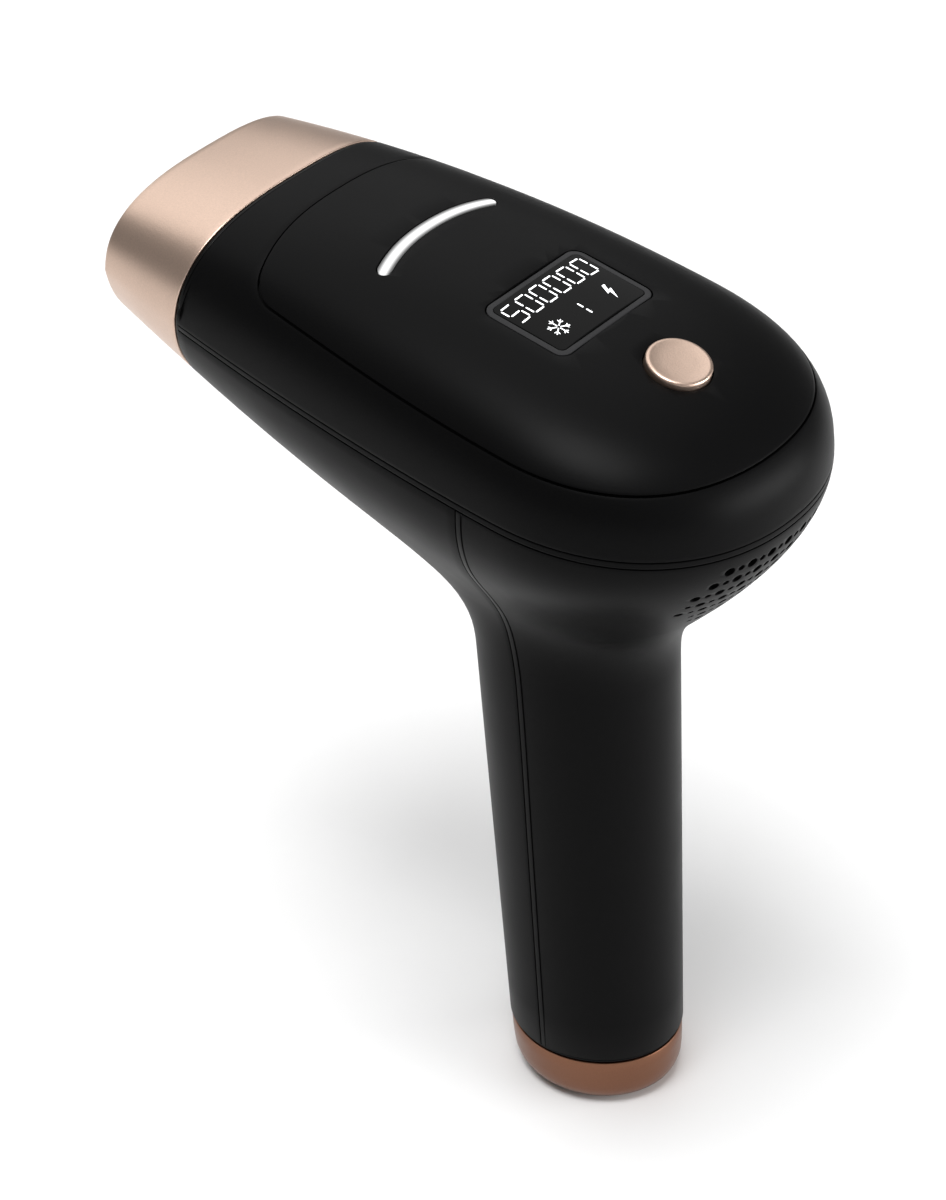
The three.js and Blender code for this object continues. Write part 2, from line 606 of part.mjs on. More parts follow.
function lampLead(side) {
  const lampEnd = new THREE.Vector3(side * LAMP.leadX, LAMP.y, 0).applyMatrix4(flashFrame);
  const points = [
    [lampEnd.x, lampEnd.y, lampEnd.z], [side * 24.8, lampEnd.y + 3, lampEnd.z - 1],
    [side * 22, -56, 163], [side * 14, -42, 158], [side * 9.5, -33, 153]];
  return solid(tube(points, 0.8, 12, 6));
}

// ------------------------------------------------------------------ cooling fan
function fanFrame() {
  const { size, depth, y, z, bladeRadius, hubRadius } = FAN;
  const tunnel = solid(moved(rod(bladeRadius + 0.7, depth + 2, 'y', 36), 0, y, z));
  const casing = solid(block(size, depth, size, 0, y, z)).subtract(tunnel);
  const seat = solid(moved(rod(hubRadius, 1.6, 'y', 24), 0, y - depth / 2 + 0.8, z));
  const arms = [0, 1, 2].map((i) => {
    const arm = block(bladeRadius + 1.3, 1.6, 1.8, (bladeRadius + 1.3) / 2, 0, 0);
    return solid(moved(arm.rotateY((i * 2 * Math.PI) / 3 + Math.PI / 2), 0, y - depth / 2 + 0.8, z));
  });
  return joined(casing, seat, ...arms);
}

function fanRotor() {
  const { depth, y, z, bladeRadius, hubRadius, blades } = FAN;
  const front = y - depth / 2 + 2.0;
  const length = depth - 3.0;
  const hub = solid(moved(rod(hubRadius, length, 'y', 24), 0, front + length / 2, z));
  const span = bladeRadius - hubRadius + 1;
  const vanes = Array.from({ length: blades }, (_, i) => {
    const vane = block(span, length * 0.86, 0.9).rotateX(THREE.MathUtils.degToRad(38));
    moved(vane, bladeRadius - span / 2, 0, 0).rotateY((2 * Math.PI * i) / blades);
    return solid(moved(vane, 0, front + length / 2, z));
  });
  return joined(hub, ...vanes);
}

// ------------------------------------------------------------------ handle's contents
function flashCapacitor() {
  const { radius, bottom, top } = CAPACITOR;
  const profile = [
    [0, bottom], [radius - 1, bottom], [radius, bottom + 1], [radius, top - 5], [radius - 0.8, top - 4],
    [radius, top - 3], [radius, top - 0.8], [radius - 0.8, top], [0, top]];
  return solid(turned(profile, 32));
}

function triggerTransformer() {
  const core = block(13, 15, 12, 0, -30, 150);
  const winding = moved(rod(5.2, 17, 'y', 20), 0, -30, 150);
  return solid(core).add(solid(winding));
}

function powerBoard() {
  const plate = solid(block(25, 26, 1.6, 0, 0, 120));
  const chips = [[-5, -5, 8, 3], [6, 5, 7, 5], [5, -7, 5, 3]].map(([x, y, size, height]) =>
    solid(block(size, size, height, x, y, 120.8 + height / 2 - 0.2)));
  return joined(plate, ...chips);
}

// A barrel socket with its pin, open at the bottom.
function dcJack() {
  const { radius, bottom, top } = INLET;
  const [pin, barrel] = [0.9, 2.8];
  const profile = [
    [0, bottom + 1], [pin, bottom + 1], [pin, top - 2], [barrel, top - 2], [barrel, bottom], [radius, bottom],
    [radius, top], [0, top]];
  return solid(moved(turned(profile, 24), 0, INLET.y, 0));
}

function supplyLead() {
  const points = [
    [0, INLET.y, INLET.top + 0.8], [0, 8.6, 20], [0, 12.6, 26], [0, 13.6, 40], [0, 13.6, 80], [0, 12, 102],
    [0, 9, 118.4]];
  return solid(tube(points, 0.9, 16, 6));
}

function triggerButton() {
  const pad = outer.translate([0, -TRIGGER.proud, 0]).intersect(triggerColumn(0, -40, -17.2));
  const stem = solid(moved(rod(1.4, 3.2, 'y', 14), 0, -16, TRIGGER.z));
  return pad.add(stem);
}

function triggerSpring() {
  const wound = coil(2.5, 0.3, 0, 4.0, 3).rotateX(-Math.PI / 2);
  return solid(moved(wound, 0, -16.95, TRIGGER.z));
}

function triggerSwitch() {
  const box = solid(block(7, 4, 7, 0, -10.6, TRIGGER.z));
  return box.add(solid(block(13, 1.4, 18, 0, -8.0, TRIGGER.z)));
}

// ------------------------------------------------------------------ materials and the finished group
const FINISH = {
  softBlack: [0x26272a, 0.55, 0], satinBlack: [0x17181a, 0.35, 0], roseGold: [0xe9c3a6, 0.35, 0.85],
  copper: [0xd39a78, 0.35, 0.85], glass: [0x15171a, 0.06, 0], clearGlass: [0xbfd2dc, 0.05, 0],
  lit: [0xffffff, 0.4, 0], steel: [0xb8bcc0, 0.35, 0.9], aluminium: [0xc9cdd0, 0.4, 0.9],
  board: [0x1d5b3a, 0.5, 0], ceramic: [0xe8e6df, 0.6, 0], blueSleeve: [0x22406e, 0.4, 0],
  redSleeve: [0xa03028, 0.5, 0], greyPlastic: [0x4a4c50, 0.5, 0],
};

const hairRemover = new THREE.Group();

function addPiece(name, finish, manifold) {
  const [color, roughness, metalness] = FINISH[finish];
  const mesh = new THREE.Mesh(geometryOf(manifold), new THREE.MeshStandardMaterial({ color, roughness, metalness }));
  mesh.name = name;
  hairRemover.add(mesh);
}

addPiece('upper_shell', 'softBlack', upperShell());
addPiece('top_panel', 'softBlack', topPanel());
addPiece('front_shell', 'softBlack', frontShell());
addPiece('rear_shell', 'softBlack', rearShell());
addPiece('parting_strip', 'softBlack', partingStrip());
addPiece('nozzle_shell', 'roseGold', nozzleShell());
addPiece('nozzle_seam_ring', 'satinBlack', nozzleSeamRing());
addPiece('end_cap', 'copper', endCap());
addPiece('handle_ring', 'satinBlack', capRing());
addPiece('display_window', 'glass', displayGlass());
addPiece('display_bezel', 'greyPlastic', displayBezel());
addPiece('display_module', 'greyPlastic', displayModule());
addPiece('light_bar', 'lit', lightBarLens());
addPiece('light_bar_board', 'board', lightBarBoard());
addPiece('main_board', 'board', mainBoard());
boardScrewPlaces().forEach((place, i) => addPiece(`board_screw_${i + 1}`, 'steel', boardScrew(place)));
addPiece('power_button', 'roseGold', powerButton());
addPiece('button_spring', 'steel', buttonSpring());
addPiece('button_switch', 'satinBlack', buttonSwitch());
addPiece('window_frame', 'satinBlack', windowFrame());
addPiece('flash_window', 'clearGlass', flashWindow());
addPiece('skin_contact_left', 'steel', skinContact(-1));
addPiece('skin_contact_right', 'steel', skinContact(1));
addPiece('cooling_plate', 'aluminium', coolingPlate());
addPiece('peltier_cooler', 'ceramic', peltierCooler());
addPiece('heat_sink', 'aluminium', heatSink());
addPiece('filter_glass', 'clearGlass', filterGlass());
addPiece('lamp_reflector', 'aluminium', lampReflector());
addPiece('flash_lamp', 'clearGlass', flashLamp());
addPiece('lamp_holder', 'ceramic', lampHolder());
addPiece('lamp_lead_left', 'redSleeve', lampLead(-1));
addPiece('lamp_lead_right', 'redSleeve', lampLead(1));
addPiece('trigger_transformer', 'redSleeve', triggerTransformer());
addPiece('fan_frame', 'satinBlack', fanFrame());
addPiece('fan_rotor', 'greyPlastic', fanRotor());
addPiece('power_board', 'board', powerBoard());
addPiece('flash_capacitor', 'blueSleeve', flashCapacitor());
addPiece('flash_trigger', 'roseGold', triggerButton());
addPiece('trigger_spring', 'steel', triggerSpring());
addPiece('trigger_switch', 'satinBlack', triggerSwitch());
addPiece('dc_jack', 'satinBlack', dcJack());
addPiece('supply_lead', 'redSleeve', supplyLead());

export default hairRemover;
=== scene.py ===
import json
import math

import bmesh
import bpy
from mathutils import Matrix, Vector
from mathutils.kdtree import KDTree


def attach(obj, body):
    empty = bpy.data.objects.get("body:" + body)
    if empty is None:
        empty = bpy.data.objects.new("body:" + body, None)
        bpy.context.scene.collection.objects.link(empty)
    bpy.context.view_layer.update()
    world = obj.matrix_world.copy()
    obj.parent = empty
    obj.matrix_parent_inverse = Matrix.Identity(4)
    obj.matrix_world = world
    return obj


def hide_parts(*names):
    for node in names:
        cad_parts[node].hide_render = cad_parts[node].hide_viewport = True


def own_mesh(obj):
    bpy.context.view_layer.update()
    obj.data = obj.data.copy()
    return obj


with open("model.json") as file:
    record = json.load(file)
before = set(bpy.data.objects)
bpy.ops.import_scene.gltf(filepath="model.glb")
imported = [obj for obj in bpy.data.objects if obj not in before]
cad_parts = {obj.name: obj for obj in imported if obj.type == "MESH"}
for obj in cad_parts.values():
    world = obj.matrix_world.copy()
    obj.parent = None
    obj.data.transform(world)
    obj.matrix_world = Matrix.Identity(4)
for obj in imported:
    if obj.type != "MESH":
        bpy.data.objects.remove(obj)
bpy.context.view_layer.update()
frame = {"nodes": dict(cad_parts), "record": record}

# Looks of a hand-held IPL hair remover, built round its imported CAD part.
# Lengths here are in millimetres and turn into metres where a mesh is made.
MM = 0.001
GAP = 0.3  # joint gap between neighbouring pieces
WALL = 2.4  # thickness of the moulded shells

# ------------------------------------------------------------------ driving dimensions
HANDLE = {"foot_half_width": 16.0, "top_half_width": 18.1, "depth_ratio": 1.14, "top": 112.6}
CAP = {"height": 11.5, "ring_height": 0.6, "neck": 4.5, "floor": 2.6}
INLET = {"y": 6.2, "mouth_radius": 4.4, "collar": 1.7, "collar_top": 5.6}
HEAD = {
    "parting_height": 157.8, "parting_slope": 0.13, "parting_bow": 0.000175,
    "half_width": 36.6, "widest_y": 12.2, "rear_y": 50.4, "nose_y": 172.7,
    "rear_power": 2.16, "nose_power": 1.6,
    "side_flare": (1.95, 3.0), "rear_flare": (1.11, 1.73), "nose_rise": 1.316, "nose_sag": 0.18,
}
CREST = {"height": 22.55, "slope": 0.0618, "bow": 0.00165, "side_power": 2.75, "rear_power": 3.44}
TIP = {"y": -88.35, "tilt": 0.2256}  # plane of the nozzle's mouth, leaning back
SEAM = {"y": -67.3, "tilt": 0.2923}  # plane between the nozzle and the head
FILLET = 9.0  # reach of the soft corner between the handle and the head, up and down
STRIP = {"top": -0.5, "height": 1.2, "width": 1.8}  # narrow strip under the parting line
PANEL = {
    "half_width": 33.85, "front_half_width": 29.5, "rear_y": 46.5, "front_y": -48.4,
    "front_bulge": 3.5, "corner": 5.0, "thickness": 1.4,
}
DISPLAY = {"width": 27.1, "length": 18.5, "y": 2.0, "corner": 2.4, "frame": 0.8, "bezel": 1.2}
LIGHT_BAR = {"width": 32.4, "length": 2.8, "y": -30.6, "bow": 2.4}  # bows towards the nozzle
BUTTON = {"y": 25.9, "radius": 6.15, "proud": 1.2, "flange_radius": 7.4, "travel": 0.8}
TRIGGER = {
    "z": 96.0, "width": 12.0, "height": 23.0, "corner": 5.0, "proud": 1.3, "back_y": -17.2, "travel": 1.5,
}
VENT = {
    "top_level": 0.855, "level_step": 0.08, "pitch": 2.375, "taper": 0.45,
    "large_radius": 1.08, "small_radius": 0.68, "drill_length": 5.6, "drill_sink": 1.0,
    "reach": (6, 7, 8, 8, 8, 6, 5),  # holes on each side of the middle, row by row from the top
}
# A fine groove follows the shells' joint on its rear side, between the two middle columns of points.
GROOVE = {"columns": (1.08, 1.2, 1.4, 1.52), "depth": 0.25}
SPRING = {"radius": 2.5, "wire": 0.3, "turns": 3, "steps_per_turn": 24, "sides": 10}
CAMERA = {"place": (432.8, 355.7, 505.2), "aim": (7.2, -19.5, 110.2), "roll": -4.04, "lens": 108.54}


# ------------------------------------------------------------------ form of the body
def parting_height(y):
    return HEAD["parting_height"] - HEAD["parting_slope"] * y + HEAD["parting_bow"] * y * y


def flare(level, start, finish):
    """Rises from 0 at level 0 to 1 at level 1."""
    return 1 - (1 - level**start) ** finish


def level_form(level):
    """The body's outline at a level, which runs from 0 at the handle to 1 at the parting line."""
    level = min(max(level, 0.0), 1.0)
    depth = HANDLE["top_half_width"] * HANDLE["depth_ratio"]
    side = flare(level, *HEAD["side_flare"])
    nose = level ** HEAD["nose_rise"] * (1 + HEAD["nose_sag"] * (level - 1))
    centre = HEAD["widest_y"] * side
    return {
        "centre": centre,
        "half_width": HANDLE["top_half_width"] + (HEAD["half_width"] - HANDLE["top_half_width"]) * side,
        "rear": depth + (HEAD["rear_y"] - depth) * flare(level, *HEAD["rear_flare"]) - centre,
        "nose": depth + (HEAD["nose_y"] - depth) * nose + centre,
        "rear_power": 2 + (HEAD["rear_power"] - 2) * level,
        "nose_power": 2 + (HEAD["nose_power"] - 2) * level,
    }


def half_width(y, level):
    form = level_form(level)
    end = "rear" if y > form["centre"] else "nose"
    share = min(abs(y - form["centre"]) / form[end], 1.0)
    power = form[end + "_power"]
    return form["half_width"] * (1 - share**power) ** (1 / power)


def crest_height(y):
    """Height of the roof over the parting line along the middle of the head."""
    rear = (y - HEAD["widest_y"]) / (HEAD["rear_y"] - HEAD["widest_y"])
    power = CREST["rear_power"]
    rise = CREST["height"] - CREST["slope"] * y - CREST["bow"] * y * y
    return rise * (1 - min(max(rear, 0.0), 1.0) ** power) ** (1 / power)


def roof_height(x, y):
    share = min(abs(x) / max(half_width(y, 1.0), 0.01), 1.0)
    power = CREST["side_power"]
    return parting_height(y) + crest_height(y) * (1 - share**power) ** (1 / power)


def seam_plane(shift):
    """The plane between the nozzle and the head, moved to the rear by a distance."""
    return {"y": SEAM["y"] + shift, "tilt": SEAM["tilt"]}


def plane_y(plane, z):
    return plane["y"] + math.tan(plane["tilt"]) * (z - parting_height(plane["y"]))


def solve(falling, low, high):
    """The place between low and high where a falling value reaches zero."""
    for _ in range(36):
        middle = (low + high) / 2
        if falling(middle) > 0:
            low = middle
        else:
            high = middle
    return (low + high) / 2


def handle_half_width(z):
    foot = HANDLE["foot_half_width"]
    return foot + (HANDLE["top_half_width"] - foot) * z / HANDLE["top"]


def handle_point(z, turn):
    half = handle_half_width(z)
    return Vector((half * math.sin(turn), half * HANDLE["depth_ratio"] * math.cos(turn), z))


def lower_point(level, turn, top=0.0):
    """A point under the parting line; turn goes from the rear, 0, round the +X side to the nose, pi."""
    y = 0.0
    for _ in range(5):
        true_level = level * (1 + top / (parting_height(y) - HANDLE["top"]))
        form = level_form(true_level)
        reach = form["rear"] if math.cos(turn) > 0 else form["nose"]
        y = form["centre"] + math.cos(turn) * reach
    x = math.copysign(half_width(y, true_level), math.sin(turn))
    return Vector((x, y, HANDLE["top"] + true_level * (parting_height(y) - HANDLE["top"])))


def end_turn(level, plane, top=0.0):
    """The turn at which a level meets a plane, or pi where it closes behind the plane."""

    def behind(turn):
        point = lower_point(level, turn, top)
        return point.y - plane_y(plane, point.z)

    return math.pi if behind(math.pi) > 0 else solve(behind, math.pi / 2, math.pi)


def keel_level(plane, top=0.0):
    """The level whose nose just touches a plane."""

    def behind(level):
        point = lower_point(level, math.pi, top)
        return point.y - plane_y(plane, point.z)

    return solve(behind, 0.05, 1.0)


def roof_point(plane, turn):
    """A point where the roof meets a plane; turn goes from the +X parting line, 0, over the top to pi."""
    power = 2 / CREST["side_power"]
    y = plane["y"]
    for _ in range(14):
        z = parting_height(y) + crest_height(y) * math.sin(turn) ** power
        y = plane_y(plane, z)
    x = half_width(y, 1.0) * abs(math.cos(turn)) ** power
    return Vector((math.copysign(x, math.cos(turn)), y, z))


# Height and Y of the joint between the front and the rear shell.
JOINT_PATH = [
    (-40, -1.8), (12, -1.7), (60, -1.2), (104, -0.8), (120, -1.6),
    (134, -0.6), (146, 2.2), (156, 3.6), (175, 4.4), (190, 4.6),
]


def joint_y(z):
    """The joint seen from the side, as a smooth curve through JOINT_PATH."""
    i = max(k for k in range(1, len(JOINT_PATH) - 2) if k == 1 or JOINT_PATH[k][0] <= z)
    before, start, end, after = JOINT_PATH[i - 1 : i + 3]
    span = end[0] - start[0]
    share = (z - start[0]) / span
    leave = (end[1] - before[1]) / (end[0] - before[0]) * span
    arrive = (after[1] - start[1]) / (after[0] - start[0]) * span
    rest = 1 - share
    held = start[1] * rest**2 * (1 + 2 * share) + end[1] * share**2 * (3 - 2 * share)
    return held + leave * share * rest**2 - arrive * share**2 * rest


# ------------------------------------------------------------------ making meshes
def placed(name, data):
    """A new object in the scene."""
    made = bpy.data.objects.new(name, data)
    bpy.context.scene.collection.objects.link(made)
    return made


def new_piece(name, points, faces):
    mesh = bpy.data.meshes.new(name)
    mesh.from_pydata([point * MM for point in points], [], faces)
    shape = bmesh.new()
    shape.from_mesh(mesh)
    bmesh.ops.remove_doubles(shape, verts=shape.verts, dist=0.004 * MM)
    bmesh.ops.dissolve_degenerate(shape, edges=shape.edges, dist=0.001 * MM)
    shape.to_mesh(mesh)
    shape.free()
    return placed(name, mesh)


def grid_faces(start, rows, columns, closed=False):
    faces = []
    for row in range(rows - 1):
        for column in range(columns if closed else columns - 1):
            low = start + row * columns
            after = (column + 1) % columns
            faces.append((low + column, low + after, low + columns + after, low + columns + column))
    return faces


def face_outwards(piece, inside):
    """Turns an open sheet's normals away from a point inside the body."""
    mesh = piece.data
    centre = Vector(inside) * MM
    total = sum((face.center - centre).dot(face.normal) * face.area for face in mesh.polygons)
    if total < 0:
        mesh.flip_normals()
    return piece


def sheet(name, grids, closed=False, inside=(0, -10, 150)):
    """One sheet through grids of points, whose shared edges are welded."""
    points, faces = [], []
    for rows in grids:
        faces += grid_faces(len(points), len(rows), len(rows[0]), closed)
        points += [point for row in rows for point in row]
    return face_outwards(new_piece(name, points, faces), inside)


def settle_normals(mesh):
    """Turns all the normals of a closed mesh out."""
    shape = bmesh.new()
    shape.from_mesh(mesh)
    bmesh.ops.recalc_face_normals(shape, faces=shape.faces)
    shape.to_mesh(mesh)
    shape.free()


def closed_skin(name, rings):
    """A closed solid over rings of points; the first and the last ring are filled to their middles."""
    columns = len(rings[0])
    points = [point for ring in rings for point in ring]
    faces = grid_faces(0, len(rings), columns, closed=True)
    for ring, base in ((rings[0], 0), (rings[-1], (len(rings) - 1) * columns)):
        middle = len(points)
        points.append(sum(ring, Vector()) / columns)
        fan = [(base + i, base + (i + 1) % columns, middle) for i in range(columns)]
        faces += fan if base else [face[::-1] for face in fan]
    piece = new_piece(name, points, faces)
    settle_normals(piece.data)
    return piece


def oval_ring(radius, height, depth_ratio, sides):
    ring = []
    for i in range(sides):
        turn = 2 * math.pi * i / sides
        ring.append(Vector((radius * math.cos(turn), radius * math.sin(turn) * depth_ratio, height)))
    return ring


def turned(name, profile, place=None, depth_ratio=1.0, sides=96):
    """A closed solid over [radius, height] rings, whose ends are filled to the axis."""
    place = place or Matrix.Identity(4)
    rings = [oval_ring(radius, height, depth_ratio, sides) for radius, height in profile]
    return closed_skin(name, [[place @ point for point in ring] for ring in rings])


def apply_modifiers(piece):
    depsgraph = bpy.context.evaluated_depsgraph_get()
    mesh = bpy.data.meshes.new_from_object(piece.evaluated_get(depsgraph), depsgraph=depsgraph)
    piece.modifiers.clear()
    piece.data = mesh
    return piece


def thicken(piece, depth, even=True):
    modifier = piece.modifiers.new("wall", "SOLIDIFY")
    modifier.thickness = depth * MM
    modifier.offset = -1
    modifier.use_even_offset = even
    return apply_modifiers(piece)


def combine(piece, tool, operation):
    modifier = piece.modifiers.new("combine", "BOOLEAN")
    modifier.object = tool
    modifier.operation = operation
    modifier.solver = "EXACT"
    apply_modifiers(piece)
    bpy.data.objects.remove(tool)
    return piece


def cut(piece, tool):
    return combine(piece, tool, "DIFFERENCE")


def round_edges(piece, width, segments=2, angle=40):
    modifier = piece.modifiers.new("edges", "BEVEL")
    modifier.width = width * MM
    modifier.segments = segments
    modifier.limit_method = "ANGLE"
    modifier.angle_limit = math.radians(angle)
    modifier.use_clamp_overlap = True
    return apply_modifiers(piece)


def finish_piece(piece, body, nodes, slot, smooth_angle=38):
    """Smooths a piece, paints it and ties it to the frame."""
    for face in piece.data.polygons:
        face.use_smooth = True
    piece.data.set_sharp_from_angle(angle=math.radians(smooth_angle))
    piece.data.materials.clear()
    piece.data.materials.append(MATERIALS[slot])
    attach(piece, body)
    if nodes:
        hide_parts(*nodes)
    return piece


# ------------------------------------------------------------------ outlines
def rounded_rectangle(width, length, corner, steps=8):
    """Points round a rectangle centred on the origin, anticlockwise."""
    points = []
    for quarter in range(4):
        sign_x = 1 if quarter in (0, 3) else -1
        sign_y = 1 if quarter in (0, 1) else -1
        for i in range(steps + 1):
            turn = math.pi / 2 * (quarter + i / steps)
            x = sign_x * (width / 2 - corner) + corner * math.cos(turn)
            points.append((x, sign_y * (length / 2 - corner) + corner * math.sin(turn)))
    return points


def refined(points, longest=1.5):
    """The same closed outline with its long edges divided."""
    result = []
    for i, (x, y) in enumerate(points):
        next_x, next_y = points[(i + 1) % len(points)]
        parts = max(1, math.ceil(math.hypot(next_x - x, next_y - y) / longest))
        for k in range(parts):
            result.append((x + (next_x - x) * k / parts, y + (next_y - y) * k / parts))
    return result


def display_outline(growth):
    width, length = DISPLAY["width"] + 2 * growth, DISPLAY["length"] + 2 * growth
    outline = rounded_rectangle(width, length, max(DISPLAY["corner"] + growth, 0.6))
    return [(x, y + DISPLAY["y"]) for x, y in outline]


def light_bar_outline(radius):
    """Points round a bar with round ends along a shallow bow; radius 0 gives the bow itself."""
    half = (LIGHT_BAR["width"] - LIGHT_BAR["length"]) / 2
    bow_steps, end_steps = 40, 14
    stations = [(-1 + 2 * i / bow_steps, -1.0) for i in range(bow_steps + 1)]
    stations += [(1.0, -1 + 2 * i / end_steps) for i in range(1, end_steps)]
    stations += [(1 - 2 * i / bow_steps, 1.0) for i in range(bow_steps + 1)]
    stations += [(-1.0, 1 + 2 * i / end_steps) for i in range(1, end_steps)]
    points = []
    for share, side in stations:
        lean = math.atan(2 * LIGHT_BAR["bow"] * share / half) + side * math.pi / 2
        middle = LIGHT_BAR["y"] + LIGHT_BAR["bow"] * share**2
        points.append((half * share + radius * math.cos(lean), middle + radius * math.sin(lean)))
    return points


def bend(start, control, end, share):
    """A point on a curve from start to end that leans towards control."""
    rest = 1 - share
    weights = (rest * rest, 2 * rest * share, share * share)
    return tuple(weights[0] * a + weights[1] * b + weights[2] * c for a, b, c in zip(start, control, end))


REAR_STEPS, FLANK_STEPS, CORNER_STEPS, NOSE_STEPS = 22, 26, 8, 14


def panel_side(inset):
    """The panel's outline from the middle of its rear round the +X side to the middle of its front."""
    half, front = PANEL["half_width"] - inset, PANEL["front_half_width"] - inset
    rear_y, front_y = PANEL["rear_y"] - inset, PANEL["front_y"] + inset
    points = []
    for i in range(REAR_STEPS):
        turn = math.pi / 2 * (1 - i / REAR_STEPS)
        y = HEAD["widest_y"] + (rear_y - HEAD["widest_y"]) * math.sin(turn) ** (2 / 2.17)
        points.append((half * math.cos(turn) ** (2 / 2.27), y))
    corner_start = (front, front_y + PANEL["corner"])
    corner_end = (front - PANEL["corner"], front_y - PANEL["front_bulge"] * 0.3)
    middle = (0.0, front_y - PANEL["front_bulge"])
    widest = (half, HEAD["widest_y"])
    for i in range(FLANK_STEPS):
        points.append(bend(widest, (half, -12.0), corner_start, i / FLANK_STEPS))
    for i in range(CORNER_STEPS):
        points.append(bend(corner_start, (front - 0.6, front_y), corner_end, i / CORNER_STEPS))
    for i in range(NOSE_STEPS + 1):
        points.append(bend(corner_end, (front / 2, middle[1]), middle, i / NOSE_STEPS))
    return points


def head_side():
    """The upper shell's edge along the parting line and the seam, matching panel_side point by point."""
    edge = seam_plane(GAP)
    corner = roof_point(edge, 0.0)
    points = []
    for i in range(REAR_STEPS):
        points.append(lower_point(1.0, math.pi / 2 * i / REAR_STEPS))
    side_steps = FLANK_STEPS + CORNER_STEPS // 2
    for i in range(side_steps):
        y = HEAD["widest_y"] + (corner.y - HEAD["widest_y"]) * i / side_steps
        points.append(Vector((half_width(y, 1.0), y, parting_height(y))))
    front_steps = CORNER_STEPS - CORNER_STEPS // 2 + NOSE_STEPS
    for i in range(front_steps + 1):
        points.append(roof_point(edge, math.pi / 2 * i / front_steps))
    return points


def mirrored(side):
    """A closed outline from one side that runs from the middle of the rear to the middle of the front."""
    other = [Vector((-point[0], *point[1:])) for point in side[1:-1]]
    return [Vector(point) for point in side] + other[::-1]


def on_roof(outline, lift=0.0):
    return [Vector((x, y, roof_height(x, y) + lift)) for x, y in outline]


def shrunk(outline, share, centre):
    return [(centre[0] + (x - centre[0]) * share, centre[1] + (y - centre[1]) * share) for x, y in outline]


def roof_patch(name, ring_at, thickness, edge):
    """A plate that follows the roof through rings, from its outline at share 1 to its middle at share 0."""
    shares = (1.0, 0.985, 0.95, 0.88, 0.76, 0.6, 0.4, 0.2, 0.0)
    rows = [on_roof(ring_at(share)) for share in shares]
    return round_edges(thicken(sheet(name, [rows], closed=True), thickness), edge)


def roof_cutter(outline):
    """A straight column through the roof."""
    rings = [[Vector((x, y, z)) for x, y in outline] for z in (140.0, 200.0)]
    return closed_skin("cutter", rings)


def rod_cutter(radius, place, length=16.0, sides=64):
    half = length / 2
    profile = [(radius, -half), (radius, half)]
    return turned("cutter", profile, place, sides=sides)


# ------------------------------------------------------------------ local frames
def roof_at(y):
    return parting_height(y) + crest_height(y)


BUTTON_SLOPE = math.atan((roof_at(BUTTON["y"] + 1) - roof_at(BUTTON["y"] - 1)) / 2)
BUTTON_TOP = Matrix.Translation((0, BUTTON["y"], roof_at(BUTTON["y"])))
BUTTON_PLACE = BUTTON_TOP @ Matrix.Rotation(BUTTON_SLOPE, 4, "X")


# ------------------------------------------------------------------ materials
def node(tree, kind, **values):
    """A shader node with constant values set on its properties or input sockets."""
    made = tree.nodes.new(kind)
    for key, value in values.items():
        if key in made.inputs:
            made.inputs[key].default_value = value
        else:
            setattr(made, key, value)
    return made


def shade(color, share):
    return tuple(min(channel * share, 1.0) for channel in color[:3]) + (1.0,)


def finish_material(slot, color, roughness, metallic=0.0, grain=3000.0, speckle=0.1, bump=0.1, wear=0.06,
                    specular=0.5, coat=0.0, transmission=0.0, emission=0.0):
    """A surface with a fine grain, a slow change of tone and a fine relief."""
    material = bpy.data.materials.new(slot)
    material.use_nodes = True
    tree = material.node_tree
    surface = tree.nodes["Principled BSDF"]
    place = node(tree, "ShaderNodeTexCoord")
    fine = node(tree, "ShaderNodeTexNoise", Scale=grain, Detail=3.0, Roughness=0.6)
    slow = node(tree, "ShaderNodeTexNoise", Scale=55.0, Detail=4.0, Roughness=0.55)
    tone = node(tree, "ShaderNodeMix", data_type="RGBA")
    tone.inputs[6].default_value = shade(color, 1 - speckle)
    tone.inputs[7].default_value = shade(color, 1 + speckle)
    dull = node(tree, "ShaderNodeMapRange")
    dull.inputs["To Min"].default_value = max(roughness - wear, 0.02)
    dull.inputs["To Max"].default_value = roughness + wear
    relief = node(tree, "ShaderNodeBump", Strength=bump, Distance=0.0001)
    for noise in (fine, slow):
        tree.links.new(place.outputs["Object"], noise.inputs["Vector"])
    tree.links.new(fine.outputs["Fac"], tone.inputs["Factor"])
    tree.links.new(slow.outputs["Fac"], dull.inputs["Value"])
    tree.links.new(fine.outputs["Fac"], relief.inputs["Height"])
    tree.links.new(tone.outputs[2], surface.inputs["Base Color"])
    tree.links.new(dull.outputs["Result"], surface.inputs["Roughness"])
    tree.links.new(relief.outputs["Normal"], surface.inputs["Normal"])
    surface.inputs["Metallic"].default_value = metallic
    surface.inputs["Specular IOR Level"].default_value = specular
    surface.inputs["Coat Weight"].default_value = coat
    surface.inputs["Coat Roughness"].default_value = 0.08
    surface.inputs["Transmission Weight"].default_value = transmission
    if emission:
        tree.links.new(tone.outputs[2], surface.inputs["Emission Color"])
        surface.inputs["Emission Strength"].default_value = emission
    return material


